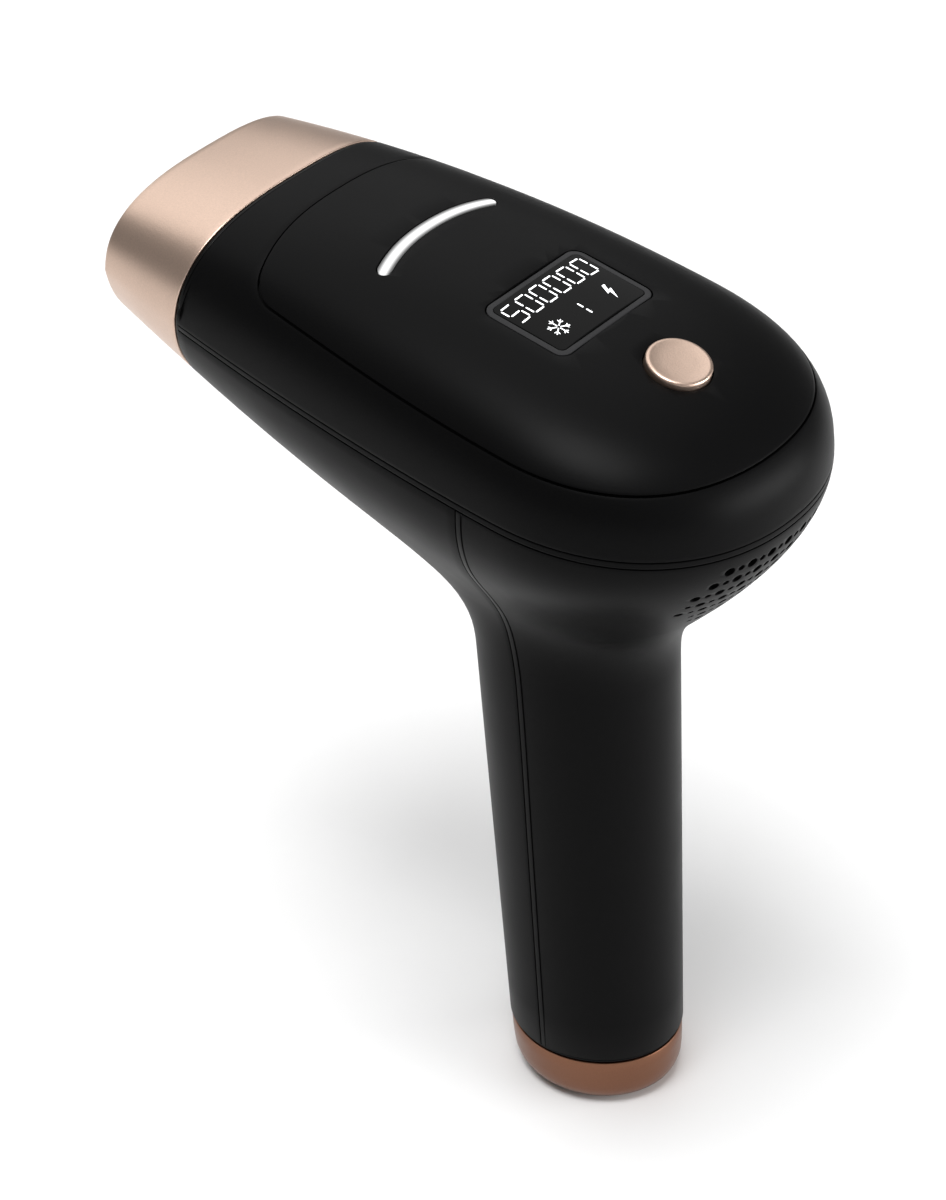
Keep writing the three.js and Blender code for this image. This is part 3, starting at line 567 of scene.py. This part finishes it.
def lit_lens_material():
    """A frosted lens that shines most along the bow through its middle."""
    material = finish_material("lit_lens", (0.10, 0.10, 0.10), 0.35, speckle=0.03, specular=0.1)
    tree = material.node_tree
    surface = tree.nodes["Principled BSDF"]
    place = node(tree, "ShaderNodeTexCoord")
    split = node(tree, "ShaderNodeSeparateXYZ")
    half = (LIGHT_BAR["width"] - LIGHT_BAR["length"]) / 2
    squared = node(tree, "ShaderNodeMath", operation="POWER")
    squared.inputs[1].default_value = 2.0
    bow = node(tree, "ShaderNodeMath", operation="MULTIPLY_ADD")
    bow.inputs[1].default_value = LIGHT_BAR["bow"] / (half * half * MM)
    bow.inputs[2].default_value = LIGHT_BAR["y"] * MM
    away = node(tree, "ShaderNodeMath", operation="SUBTRACT")
    distance = node(tree, "ShaderNodeMath", operation="ABSOLUTE")
    glow = node(tree, "ShaderNodeMapRange", interpolation_type="SMOOTHSTEP")
    glow.inputs["From Min"].default_value = 0.15 * MM
    glow.inputs["From Max"].default_value = 1.4 * MM
    glow.inputs["To Min"].default_value = 1.2
    glow.inputs["To Max"].default_value = 0.0
    surface.inputs["Emission Color"].default_value = (1, 1, 1, 1)
    tree.links.new(place.outputs["Object"], split.inputs[0])
    tree.links.new(split.outputs["X"], squared.inputs[0])
    tree.links.new(squared.outputs[0], bow.inputs[0])
    tree.links.new(split.outputs["Y"], away.inputs[0])
    tree.links.new(bow.outputs[0], away.inputs[1])
    tree.links.new(away.outputs[0], distance.inputs[0])
    tree.links.new(distance.outputs[0], glow.inputs["Value"])
    tree.links.new(glow.outputs["Result"], surface.inputs["Emission Strength"])
    return material


def make_materials():
    m = finish_material
    metal = {"metallic": 1.0}
    lacquer = {"metallic": 1.0, "grain": 3200.0}
    clear = {"bump": 0.01, "wear": 0.02, "speckle": 0.02, "transmission": 0.9}
    glossy = {"bump": 0.01, "wear": 0.02, "speckle": 0.05, "specular": 0.04}
    soft = {"grain": 2600.0, "bump": 0.12, "specular": 0.05}
    return {
        "soft_black": m("soft_black", (0.0024, 0.0024, 0.0025), 0.4, **soft),
        "satin_black": m("satin_black", (0.003, 0.003, 0.003), 0.34, bump=0.06, specular=0.1),
        "rose_gold": m("rose_gold", (0.59, 0.44, 0.355), 0.37, speckle=0.16, bump=0.3, **lacquer),
        "copper": m("copper", (0.20, 0.095, 0.058), 0.32, speckle=0.14, bump=0.25, **lacquer),
        "dark_glass": m("dark_glass", (0.006, 0.006, 0.006), 0.12, **glossy),
        "sapphire": m("sapphire", (0.86, 0.90, 0.92), 0.05, **clear),
        "lamp_quartz": m("lamp_quartz", (0.93, 0.94, 0.95), 0.06, **clear),
        "lit_lens": lit_lens_material(),
        "lit_figure": m("lit_figure", (0.95, 0.97, 1.0), 0.4, speckle=0.03, emission=1.1),
        "grey_plastic": m("grey_plastic", (0.022, 0.022, 0.023), 0.4, bump=0.08, specular=0.1),
        "steel": m("steel", (0.62, 0.62, 0.63), 0.26, bump=0.1, **metal),
        "aluminium": m("aluminium", (0.72, 0.73, 0.74), 0.38, bump=0.15, **metal),
        "circuit_board": m("circuit_board", (0.03, 0.16, 0.07), 0.4, speckle=0.2),
        "ceramic": m("ceramic", (0.80, 0.79, 0.74), 0.6, speckle=0.05),
        "blue_sleeve": m("blue_sleeve", (0.03, 0.07, 0.22), 0.25, coat=0.3),
        "red_sleeve": m("red_sleeve", (0.38, 0.03, 0.02), 0.4),
    }


# ------------------------------------------------------------------ rows of the shells under the parting line
LOWER_TOP = STRIP["top"] - STRIP["height"] - GAP  # top edge of the lower shells, from the parting line
HANDLE_BOTTOM = CAP["height"] + CAP["ring_height"] + 2 * GAP
SEAM_MIDDLE = parting_height(SEAM["y"]) + 0.6  # height that the upper shell's lip leans towards at the seam
SEAM_END = -50.0  # the upper shell's edge follows the seam in front of this Y
HEAD_START = FILLET / (parting_height(0.0) - HANDLE["top"])  # level at which the soft corner ends


def corner_row(share):
    """A row of the soft corner between the handle and the head, as a function of the turn."""
    sink = FILLET * (1 - share) ** 2
    slimmer = handle_half_width(HANDLE["top"] - sink) / HANDLE["top_half_width"]

    def point(turn):
        on_head = lower_point(HEAD_START * share**2, turn, LOWER_TOP)
        return Vector((on_head.x * slimmer, on_head.y * slimmer, on_head.z - sink))

    return point


def handle_row(z):
    return lambda turn: handle_point(z, turn)


def lower_row(level):
    return lambda turn: lower_point(level, turn, LOWER_TOP)


def handle_rows(count):
    """Rows from the handle's lower end to the end of its soft corner."""
    reach = HANDLE["top"] - FILLET - HANDLE_BOTTOM
    rows = [handle_row(HANDLE_BOTTOM + reach * i / count) for i in range(count)]
    return rows + [corner_row(i / 8) for i in range(9)]


# ------------------------------------------------------------------ shells
def inwards(point):
    """From the upper shell's edge towards the middle of the head, level except round the seam."""
    height = min(point.z, SEAM_MIDDLE) if point.y < SEAM_END else point.z
    middle = Vector((0, min(point.y, HEAD["widest_y"]), height))
    return (middle - point).normalized()


def upper_shell():
    """The head's cover, with a bed under the panel and a lip that closes the gap behind the strip."""
    edge = mirrored(head_side())
    rim = mirrored([(x, y, 0.0) for x, y in panel_side(-GAP / 2)])
    foot = [Vector((point.x, point.y, point.z - 0.2)) for point in edge]
    lip_top = [point + inwards(point) * 2.2 for point in foot]
    lip_foot = [point - Vector((0, 0, 1.1)) for point in lip_top]
    rows = [lip_foot, lip_top, foot]
    steps = 20
    for step in range(1, steps + 1):
        share = (step / steps) ** 2.8
        row = [outer.lerp(inner, share).to_2d() for outer, inner in zip(edge, rim)]
        rows.append(on_roof(row))
    drop = PANEL["thickness"] + GAP
    bed = [(point.x, point.y) for point in rim]
    for share in (1.0, 0.97, 0.85, 0.65, 0.4, 0.15, 0.0):
        rows.append(on_roof(shrunk(bed, share, (0.0, -2.0)), -drop))
    shell = thicken(sheet("upper_shell_skin", [rows], closed=True), 0.7, even=False)
    cut(shell, roof_cutter(display_outline(GAP + DISPLAY["frame"])))
    cut(shell, roof_cutter(light_bar_outline(LIGHT_BAR["length"] / 2 + GAP)))
    cut(shell, rod_cutter(BUTTON["radius"] + 0.5, BUTTON_PLACE))
    finish_piece(round_edges(shell, 0.16), "housing", ["upper_shell"], "soft_black")


def top_panel():
    outline = [tuple(point.to_2d()) for point in mirrored([(x, y, 0.0) for x, y in panel_side(GAP / 2)])]
    rows = []
    for share in (1.0, 0.993, 0.975, 0.94, 0.88, 0.8, 0.7, 0.6, 0.5, 0.4, 0.3, 0.2, 0.1, 0.0):
        rows.append(on_roof(shrunk(outline, share, (0.0, -2.0))))
    panel = thicken(sheet("top_panel_skin", [rows], closed=True), PANEL["thickness"])
    cut(panel, roof_cutter(display_outline(GAP)))
    cut(panel, roof_cutter(light_bar_outline(LIGHT_BAR["length"] / 2 + GAP)))
    cut(panel, rod_cutter(BUTTON["radius"] + GAP, BUTTON_PLACE))
    finish_piece(round_edges(panel, 0.16), "housing", ["top_panel"], "soft_black")


def joint_turn(row, shift):
    """The turn at which a row meets the joint between the front and the rear shell."""

    def behind(turn):
        point = row(turn)
        return point.y - joint_y(point.z) - shift

    return solve(behind, 0.4, math.pi - 0.4)


def rear_shell():
    levels = [HEAD_START + (1 - HEAD_START) * i / 40 for i in range(1, 41)]
    rows = handle_rows(10) + [lower_row(level) for level in levels]
    distances = (GAP / 2, *GROOVE["columns"])
    steps = 68
    grid, groove = [], []
    for row in rows:
        near_joint = [joint_turn(row, distance) for distance in distances]
        behind = [near_joint[-1] * (1 - 2 * i / steps) for i in range(1, steps)]
        turns = near_joint + behind + [-turn for turn in reversed(near_joint)]
        line = [row(turn) for turn in turns]
        grid.append(line)
        groove += line[2:4] + line[-4:-2]
    shell = thicken(sheet("rear_shell_skin", [grid], inside=(0, 0, 120)), WALL)
    cut(shell, vent_cutter())
    round_edges(shell, 0.15)
    press_in(shell, groove, GROOVE["depth"])
    finish_piece(shell, "housing", ["rear_shell"], "soft_black")


def press_in(piece, points, depth):
    """Moves the vertices that lie at these points towards the middle plane."""
    vertices = piece.data.vertices
    tree = KDTree(len(vertices))
    for vertex in vertices:
        tree.insert(vertex.co, vertex.index)
    tree.balance()
    for point in points:
        _, index, distance = tree.find(point * MM)
        if distance < 0.005 * MM:
            vertices[index].co.x -= math.copysign(depth * MM, point.x)


def rear_point(x, level):
    """A point on the rear of the head under the parting line."""
    form = level_form(level)
    power = form["rear_power"]
    y = form["centre"] + form["rear"] * (1 - (abs(x) / form["half_width"]) ** power) ** (1 / power)
    return Vector((x, y, HANDLE["top"] + level * (parting_height(y) - HANDLE["top"])))


def drill_place(x, level):
    """Places a drill whose own Z points out of the rear of the head."""
    across = rear_point(x + 0.1, level) - rear_point(x - 0.1, level)
    up = rear_point(x, level + 0.01) - rear_point(x, level - 0.01)
    turn = up.cross(across).to_track_quat("Z", "Y")
    return Matrix.Translation(rear_point(x, level)) @ turn.to_matrix().to_4x4()


def vent_cutter():
    """Round holes in staggered rows, large and small by turns, closer together towards the handle."""
    tool = None
    for row, reach in enumerate(VENT["reach"]):
        level = VENT["top_level"] - row * VENT["level_step"]
        shrink = 1 - VENT["taper"] * (VENT["top_level"] - level)
        for i in range(-reach, reach + 1):
            radius = VENT["large_radius"] if (i + row) % 2 == 0 else VENT["small_radius"]
            sunk = Matrix.Translation((0, 0, -VENT["drill_sink"]))
            place = drill_place(i * VENT["pitch"] * shrink, level) @ sunk
            hole = rod_cutter(radius * shrink, place, VENT["drill_length"], sides=24)
            tool = hole if tool is None else joined(tool, hole)
    return tool


def joined(first, second):
    """Both pieces' meshes in the first piece."""
    shape = bmesh.new()
    shape.from_mesh(first.data)
    shape.from_mesh(second.data)
    shape.to_mesh(first.data)
    shape.free()
    bpy.data.objects.remove(second)
    return first


def front_shell():
    edge = seam_plane(GAP)
    keel = keel_level(edge, LOWER_TOP)
    levels = [HEAD_START + (keel - HEAD_START) * i / 26 for i in range(1, 27)]
    levels += [keel + (1 - keel) * (i / 20) ** 2 for i in range(1, 21)]  # closest where the seam starts
    rows = [(row, math.pi) for row in handle_rows(10)]
    for level in levels:
        last = end_turn(level, edge, LOWER_TOP) if level > keel else math.pi
        rows.append((lower_row(level), last))
    steps = 36
    right = []
    for row, last in rows:
        first = joint_turn(row, -GAP / 2)
        right.append([row(first + (last - first) * i / steps) for i in range(steps + 1)])
    left = [[Vector((-point.x, point.y, point.z)) for point in reversed(line)] for line in right]
    shell = thicken(sheet("front_shell_skin", [right, left], inside=(0, -10, 130)), WALL)
    width, height = TRIGGER["width"] + 2 * GAP, TRIGGER["height"] + 2 * GAP
    outline = refined(rounded_rectangle(width, height, TRIGGER["corner"] + GAP))
    rings = [[Vector((x, y, TRIGGER["z"] + z)) for x, z in outline] for y in (-40.0, 0.0)]
    cut(shell, closed_skin("cutter", rings))
    finish_piece(round_edges(shell, 0.15), "housing", ["front_shell"], "soft_black")


def parting_strip():
    edge = seam_plane(GAP)
    tops = [STRIP["top"] - STRIP["height"] * (1 - i / 4) for i in range(5)]
    steps = 90
    grid = []
    for top in tops:
        last = end_turn(1.0, edge, top)
        grid.append([lower_point(1.0, last * (1 - 2 * i / (2 * steps)), top) for i in range(2 * steps + 1)])
    strip = thicken(sheet("parting_strip_skin", [grid]), STRIP["width"])
    finish_piece(round_edges(strip, 0.14), "housing", ["parting_strip"], "soft_black")


# ------------------------------------------------------------------ nozzle
def section(plane):
    """The body's outline in a plane, a closed ring from the keel round the +X side and over the roof."""
    keel = keel_level(plane)
    right = []
    for i in range(26):
        level = keel + (1 - keel) * (i / 26) ** 2
        right.append(lower_point(level, end_turn(level, plane)) if i else lower_point(keel, math.pi))
    right += [roof_point(plane, math.pi / 2 * i / 30) for i in range(31)]
    right[0].x = 0.0
    right[-1].x = 0.0
    return mirrored(right)


def between(first, second, share):
    return {key: first[key] + (second[key] - first[key]) * share for key in first}


def nozzle_shell():
    rear = seam_plane(-0.9)
    grid = [section(between(TIP, rear, i / 14)) for i in range(15)]
    shell = thicken(sheet("nozzle_shell_skin", [grid], closed=True, inside=(0, -78, 165)), WALL)
    finish_piece(round_edges(shell, 0.22, segments=3), "housing", ["nozzle_shell"], "rose_gold")


def nozzle_seam_ring():
    front = seam_plane(-0.6)
    middle = Vector((0, SEAM["y"], 164))
    grid = []
    for i in range(4):
        ring = section(between(front, SEAM, i / 3))
        grid.append([point + (middle - point).normalized() * 0.25 for point in ring])
    ring = thicken(sheet("nozzle_seam_ring_skin", [grid], closed=True, inside=(0, -67, 165)), 2.0)
    finish_piece(round_edges(ring, 0.12), "housing", ["nozzle_seam_ring"], "satin_black")


# ------------------------------------------------------------------ handle's end
def end_cap():
    foot = HANDLE["foot_half_width"]
    neck = foot - WALL - 2 * GAP
    bore = neck - 1.6
    top = CAP["height"]
    rounded_foot = [
        (foot - 4.2, 0.0), (foot - 3.4, 0.1), (foot - 2.6, 0.5), (foot - 1.8, 1.1), (foot - 1.2, 1.8),
        (foot - 0.7, 2.8), (foot - 0.35, 4.0), (foot - 0.15, 6.0), (foot - 0.05, 8.5),
    ]
    rounded_rim = [(foot, top - 0.35), (foot - 0.1, top - 0.1), (foot - 0.35, top)]
    cup = [(neck, top), (neck, top + CAP["neck"]), (bore, top + CAP["neck"]), (bore, CAP["floor"])]
    profile = rounded_foot + rounded_rim + cup
    cap = turned("end_cap_skin", profile, depth_ratio=HANDLE["depth_ratio"], sides=128)
    collar_place = Matrix.Translation((0, INLET["y"], INLET["collar_top"] / 2 + 0.5))
    collar = rod_cutter(INLET["mouth_radius"] + INLET["collar"], collar_place, INLET["collar_top"] - 1)
    combine(cap, collar, "UNION")
    cut(cap, rod_cutter(INLET["mouth_radius"], Matrix.Translation((0, INLET["y"], 0)), 20.0))
    finish_piece(round_edges(cap, 0.15, angle=60), "housing", ["end_cap"], "copper")


def handle_ring():
    rim, neck = HANDLE["foot_half_width"] - 0.2, HANDLE["foot_half_width"] - WALL
    low, high = CAP["height"] + GAP, CAP["height"] + GAP + CAP["ring_height"] - 0.2
    soft = 0.08
    profile = [(neck, low), (rim - soft, low), (rim, low + soft)]
    profile += [(rim, high - soft), (rim - soft, high), (neck, high)]
    rings = [oval_ring(radius, height, HANDLE["depth_ratio"], 128) for radius, height in profile]
    ring = sheet("handle_ring_skin", [rings + rings[:1]], closed=True, inside=(0, 0, 12))
    finish_piece(ring, "housing", ["handle_ring"], "satin_black")


# ------------------------------------------------------------------ display, light bar and button
def display():
    outline = refined(display_outline(-DISPLAY["bezel"] - 0.08))

    def glass_ring(share):
        return shrunk(outline, share, (0.0, DISPLAY["y"]))

    glass = roof_patch("display_glass", glass_ring, 1.4, 0.12)
    finish_piece(glass, "housing", ["display_window"], "dark_glass")
    rows = [on_roof(display_outline(-DISPLAY["bezel"] * share)) for share in (0, 0.25, 0.5, 0.75, 1)]
    bezel = thicken(sheet("display_bezel_skin", [rows], closed=True, inside=(0, 2, 150)), 1.5)
    finish_piece(round_edges(bezel, 0.15), "housing", ["display_bezel"], "grey_plastic")


def light_bar():
    def lens_ring(share):
        return light_bar_outline(share * LIGHT_BAR["length"] / 2)

    lens = roof_patch("light_bar_lens", lens_ring, 1.5, 0.25)
    finish_piece(lens, "housing", ["light_bar"], "lit_lens")


def power_button():
    radius, proud, flange = BUTTON["radius"], BUTTON["proud"], BUTTON["flange_radius"]
    stem_and_flange = [(1.5, -6.4), (1.5, -4.5), (flange, -4.5), (flange, -3.5), (radius, -3.5)]
    rounded_rim = [
        (radius, proud - 0.6), (radius - 0.06, proud - 0.32),
        (radius - 0.22, proud - 0.12), (radius - 0.5, proud),
    ]
    hollow_top = [
        (radius - 0.8, proud - 0.02), (radius - 1.2, proud - 0.1),
        (radius * 0.5, proud - 0.22), (0.4, proud - 0.28),
    ]
    button = turned("power_button_cap", stem_and_flange + rounded_rim + hollow_top, BUTTON_PLACE)
    finish_piece(button, "button", ["power_button"], "rose_gold", smooth_angle=50)


# ------------------------------------------------------------------ return springs
def spring(name, place, length):
    """A coil along its place's Z, from the place's origin up to the given length."""
    wire = SPRING["wire"]
    steps = SPRING["turns"] * SPRING["steps_per_turn"]
    rings = []
    for i in range(steps + 1):
        turn = 2 * math.pi * i / SPRING["steps_per_turn"]
        outwards = Vector((math.cos(turn), math.sin(turn), 0))
        middle = outwards * SPRING["radius"] + Vector((0, 0, wire + (length - 2 * wire) * i / steps))
        ring = []
        for k in range(SPRING["sides"]):
            angle = 2 * math.pi * k / SPRING["sides"]
            offset = outwards * wire * math.cos(angle) + Vector((0, 0, wire * math.sin(angle)))
            ring.append(place @ (middle + offset))
        rings.append(ring)
    coil = closed_skin(name + "_coil", rings)
    finish_piece(coil, "housing", [name], "steel")
    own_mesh(coil)


def springs():
    under_button = BUTTON_PLACE @ Matrix.Translation((0, 0, -7.3))
    spring("button_spring", under_button, 2.7)
    along_y = Matrix.Rotation(-math.pi / 2, 4, "X")
    behind_trigger = Matrix.Translation((0, TRIGGER["back_y"] + 0.25, TRIGGER["z"])) @ along_y
    spring("trigger_spring", behind_trigger, 4.0)


# ------------------------------------------------------------------ lit figures
DIGITS = {"size": (2.75, 4.8), "pitch": 3.97, "start": 11.4, "top": -4.65, "stroke": 0.31}
SEGMENTS = {"0": "abcdef", "1": "bc", "5": "afgcd"}


def segment_line(name, width, height):
    """The ends of a figure's segment, from its top left corner to the right and down."""
    middle = height / 2
    return {
        "a": ((0, 0), (width, 0)),
        "b": ((width, 0), (width, middle)),
        "c": ((width, middle), (width, height)),
        "d": ((0, height), (width, height)),
        "e": ((0, middle), (0, height)),
        "f": ((0, 0), (0, middle)),
        "g": ((0, middle), (width, middle)),
    }[name]


def stroke(start, end, width, trim=0.24):
    """A bar with pointed ends between two points."""
    start, end = Vector(start), Vector(end)
    along = (end - start).normalized()
    side = Vector((-along.y, along.x)) * width / 2
    first, last = start + along * trim, end - along * trim
    near, far = first + along * width / 2, last - along * width / 2
    return [first, near + side, far + side, last, far - side, near - side]


def figure_polygons():
    """Outlines of the lit figures: right and down from the display's own middle, as the user reads it."""
    polygons = []
    width, height = DIGITS["size"]
    for place, digit in enumerate("500000"):
        corner = Vector((-DIGITS["start"] + place * DIGITS["pitch"], DIGITS["top"]))
        for name in SEGMENTS[digit]:
            start, end = segment_line(name, width, height)
            polygons.append(stroke(Vector(start) + corner, Vector(end) + corner, DIGITS["stroke"]))
    for low, high in ((3.5, 5.4), (5.5, 7.4)):
        polygons.append(stroke((0.0, low), (0.0, high), DIGITS["stroke"]))
    polygons += snowflake(Vector((-7.6, 5.5)), 2.2)
    bolt = [(7.5, 3.5), (6.5, 5.7), (7.3, 5.5), (6.9, 7.6), (8.3, 4.9), (7.4, 5.1), (8.2, 3.5)]
    polygons.append([Vector(point) for point in bolt])
    return polygons


def snowflake(centre, radius):
    polygons = []
    for arm in range(6):
        turn = math.pi / 3 * arm + math.pi / 6
        along = Vector((math.cos(turn), math.sin(turn)))
        polygons.append(stroke(centre + along * 0.3, centre + along * radius, 0.2, trim=0.0))
        for sign in (-1, 1):
            side = Vector((math.cos(turn + sign * 0.8), math.sin(turn + sign * 0.8)))
            fork = centre + along * radius * 0.6 + side * 0.12
            polygons.append(stroke(fork, fork + side * radius * 0.28, 0.15, trim=0.0))
    return polygons


def lit_figures():
    """Thin lit plates just over the display's glass."""
    points, faces = [], []
    for polygon in figure_polygons():
        count = len(polygon)
        base = len(points)
        for lift in (0.04, -0.1):
            for point in polygon:
                x, y = -point.x, point.y
                points.append(Vector((x, y, roof_height(x, y) + lift)))
        faces.append(tuple(base + i for i in range(count)))
        faces.append(tuple(base + count + i for i in reversed(range(count))))
        for i in range(count):
            after = (i + 1) % count
            faces.append((base + after, base + i, base + count + i, base + count + after))
    mesh = bpy.data.meshes.new("lit_figures")
    mesh.from_pydata([point * MM for point in points], [], faces)
    figures = placed("lit_figures", mesh)
    settle_normals(mesh)
    mesh.materials.append(MATERIALS["lit_figure"])
    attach(figures, "housing")


# ------------------------------------------------------------------ trigger
def flash_trigger():
    """A rounded pad that follows the front of the handle, with a short stem."""
    outline = refined(rounded_rectangle(TRIGGER["width"], TRIGGER["height"], TRIGGER["corner"]))

    def front(x, z):
        half = handle_half_width(z)
        return -half * HANDLE["depth_ratio"] * math.sqrt(1 - (x / half) ** 2) - TRIGGER["proud"]

    rings = []
    for share in (0.02, 0.3, 0.6, 0.8, 0.92, 1.0):
        ring = [(x * share, TRIGGER["z"] + z * share) for x, z in outline]
        rings.append([Vector((x, front(x, z), z)) for x, z in ring])
    rings.append([Vector((x, TRIGGER["back_y"], TRIGGER["z"] + z)) for x, z in outline])
    pad = round_edges(closed_skin("flash_trigger_pad", rings), 0.5, segments=3)
    along_y = Matrix.Rotation(math.pi / 2, 4, "X")
    stem = rod_cutter(1.4, Matrix.Translation((0, -16.0, TRIGGER["z"])) @ along_y, 3.2, sides=32)
    combine(pad, stem, "UNION")
    finish_piece(pad, "trigger", ["flash_trigger"], "rose_gold")


# ------------------------------------------------------------------ CAD nodes, studio and camera
def paint_cad_nodes():
    slots = {part["node"]: part["material_slot"] for part in frame["record"]["subparts"]}
    for name, cad in frame["nodes"].items():
        cad.data.materials.clear()
        cad.data.materials.append(MATERIALS[slots[name]])


def area_light(name, place, aim, size, power):
    light = bpy.data.lights.new(name, "AREA")
    light.shape = "RECTANGLE"
    light.size, light.size_y = size
    light.energy = power
    lamp = placed(name, light)
    lamp.location = place
    lamp.rotation_euler = (Vector(aim) - Vector(place)).to_track_quat("-Z", "Y").to_euler()


def studio():
    floor = placed("floor", bpy.data.meshes.new("floor"))
    reach = 4.0
    corners = [(-reach, -reach, 0), (reach, -reach, 0), (reach, reach, 0), (-reach, reach, 0)]
    floor.data.from_pydata(corners, [], [(0, 1, 2, 3)])
    floor.location.z = -0.0003
    pale = finish_material("floor", (0.86, 0.86, 0.86), 0.7, grain=60.0, speckle=0.01, bump=0.0)
    floor.data.materials.append(pale)
    world = bpy.data.worlds.new("studio")
    world.use_nodes = True
    background = world.node_tree.nodes["Background"]
    background.inputs["Color"].default_value = (1, 1, 1, 1)
    background.inputs["Strength"].default_value = 0.26
    bpy.context.scene.world = world
    bpy.context.scene.view_settings.view_transform = "Standard"
    area_light("softbox", (-0.42, -0.68, 1.15), (0, -0.03, 0.15), (1.7, 1.4), 9)
    area_light("key", (0.4, 0.15, 1.7), (0, 0, 0.12), (0.8, 0.8), 26)
    area_light("rim", (-0.5, 1.05, 0.26), (0, 0, 0.15), (0.9, 0.5), 13)


def camera():
    data = bpy.data.cameras.new("camera")
    data.lens = CAMERA["lens"]
    data.sensor_width = 36
    data.clip_start, data.clip_end = 0.01, 20
    eye = placed("camera", data)
    place, aim = Vector(CAMERA["place"]) * MM, Vector(CAMERA["aim"]) * MM
    eye.location = place
    eye.rotation_mode = "QUATERNION"
    look = (aim - place).to_track_quat("-Z", "Y")
    eye.rotation_quaternion = look @ Matrix.Rotation(math.radians(CAMERA["roll"]), 3, "Z").to_quaternion()
    bpy.context.scene.camera = eye


MATERIALS = make_materials()
paint_cad_nodes()
upper_shell()
top_panel()
rear_shell()
front_shell()
parting_strip()
nozzle_shell()
nozzle_seam_ring()
end_cap()
handle_ring()
display()
light_bar()
power_button()
springs()
lit_figures()
flash_trigger()
studio()
camera()
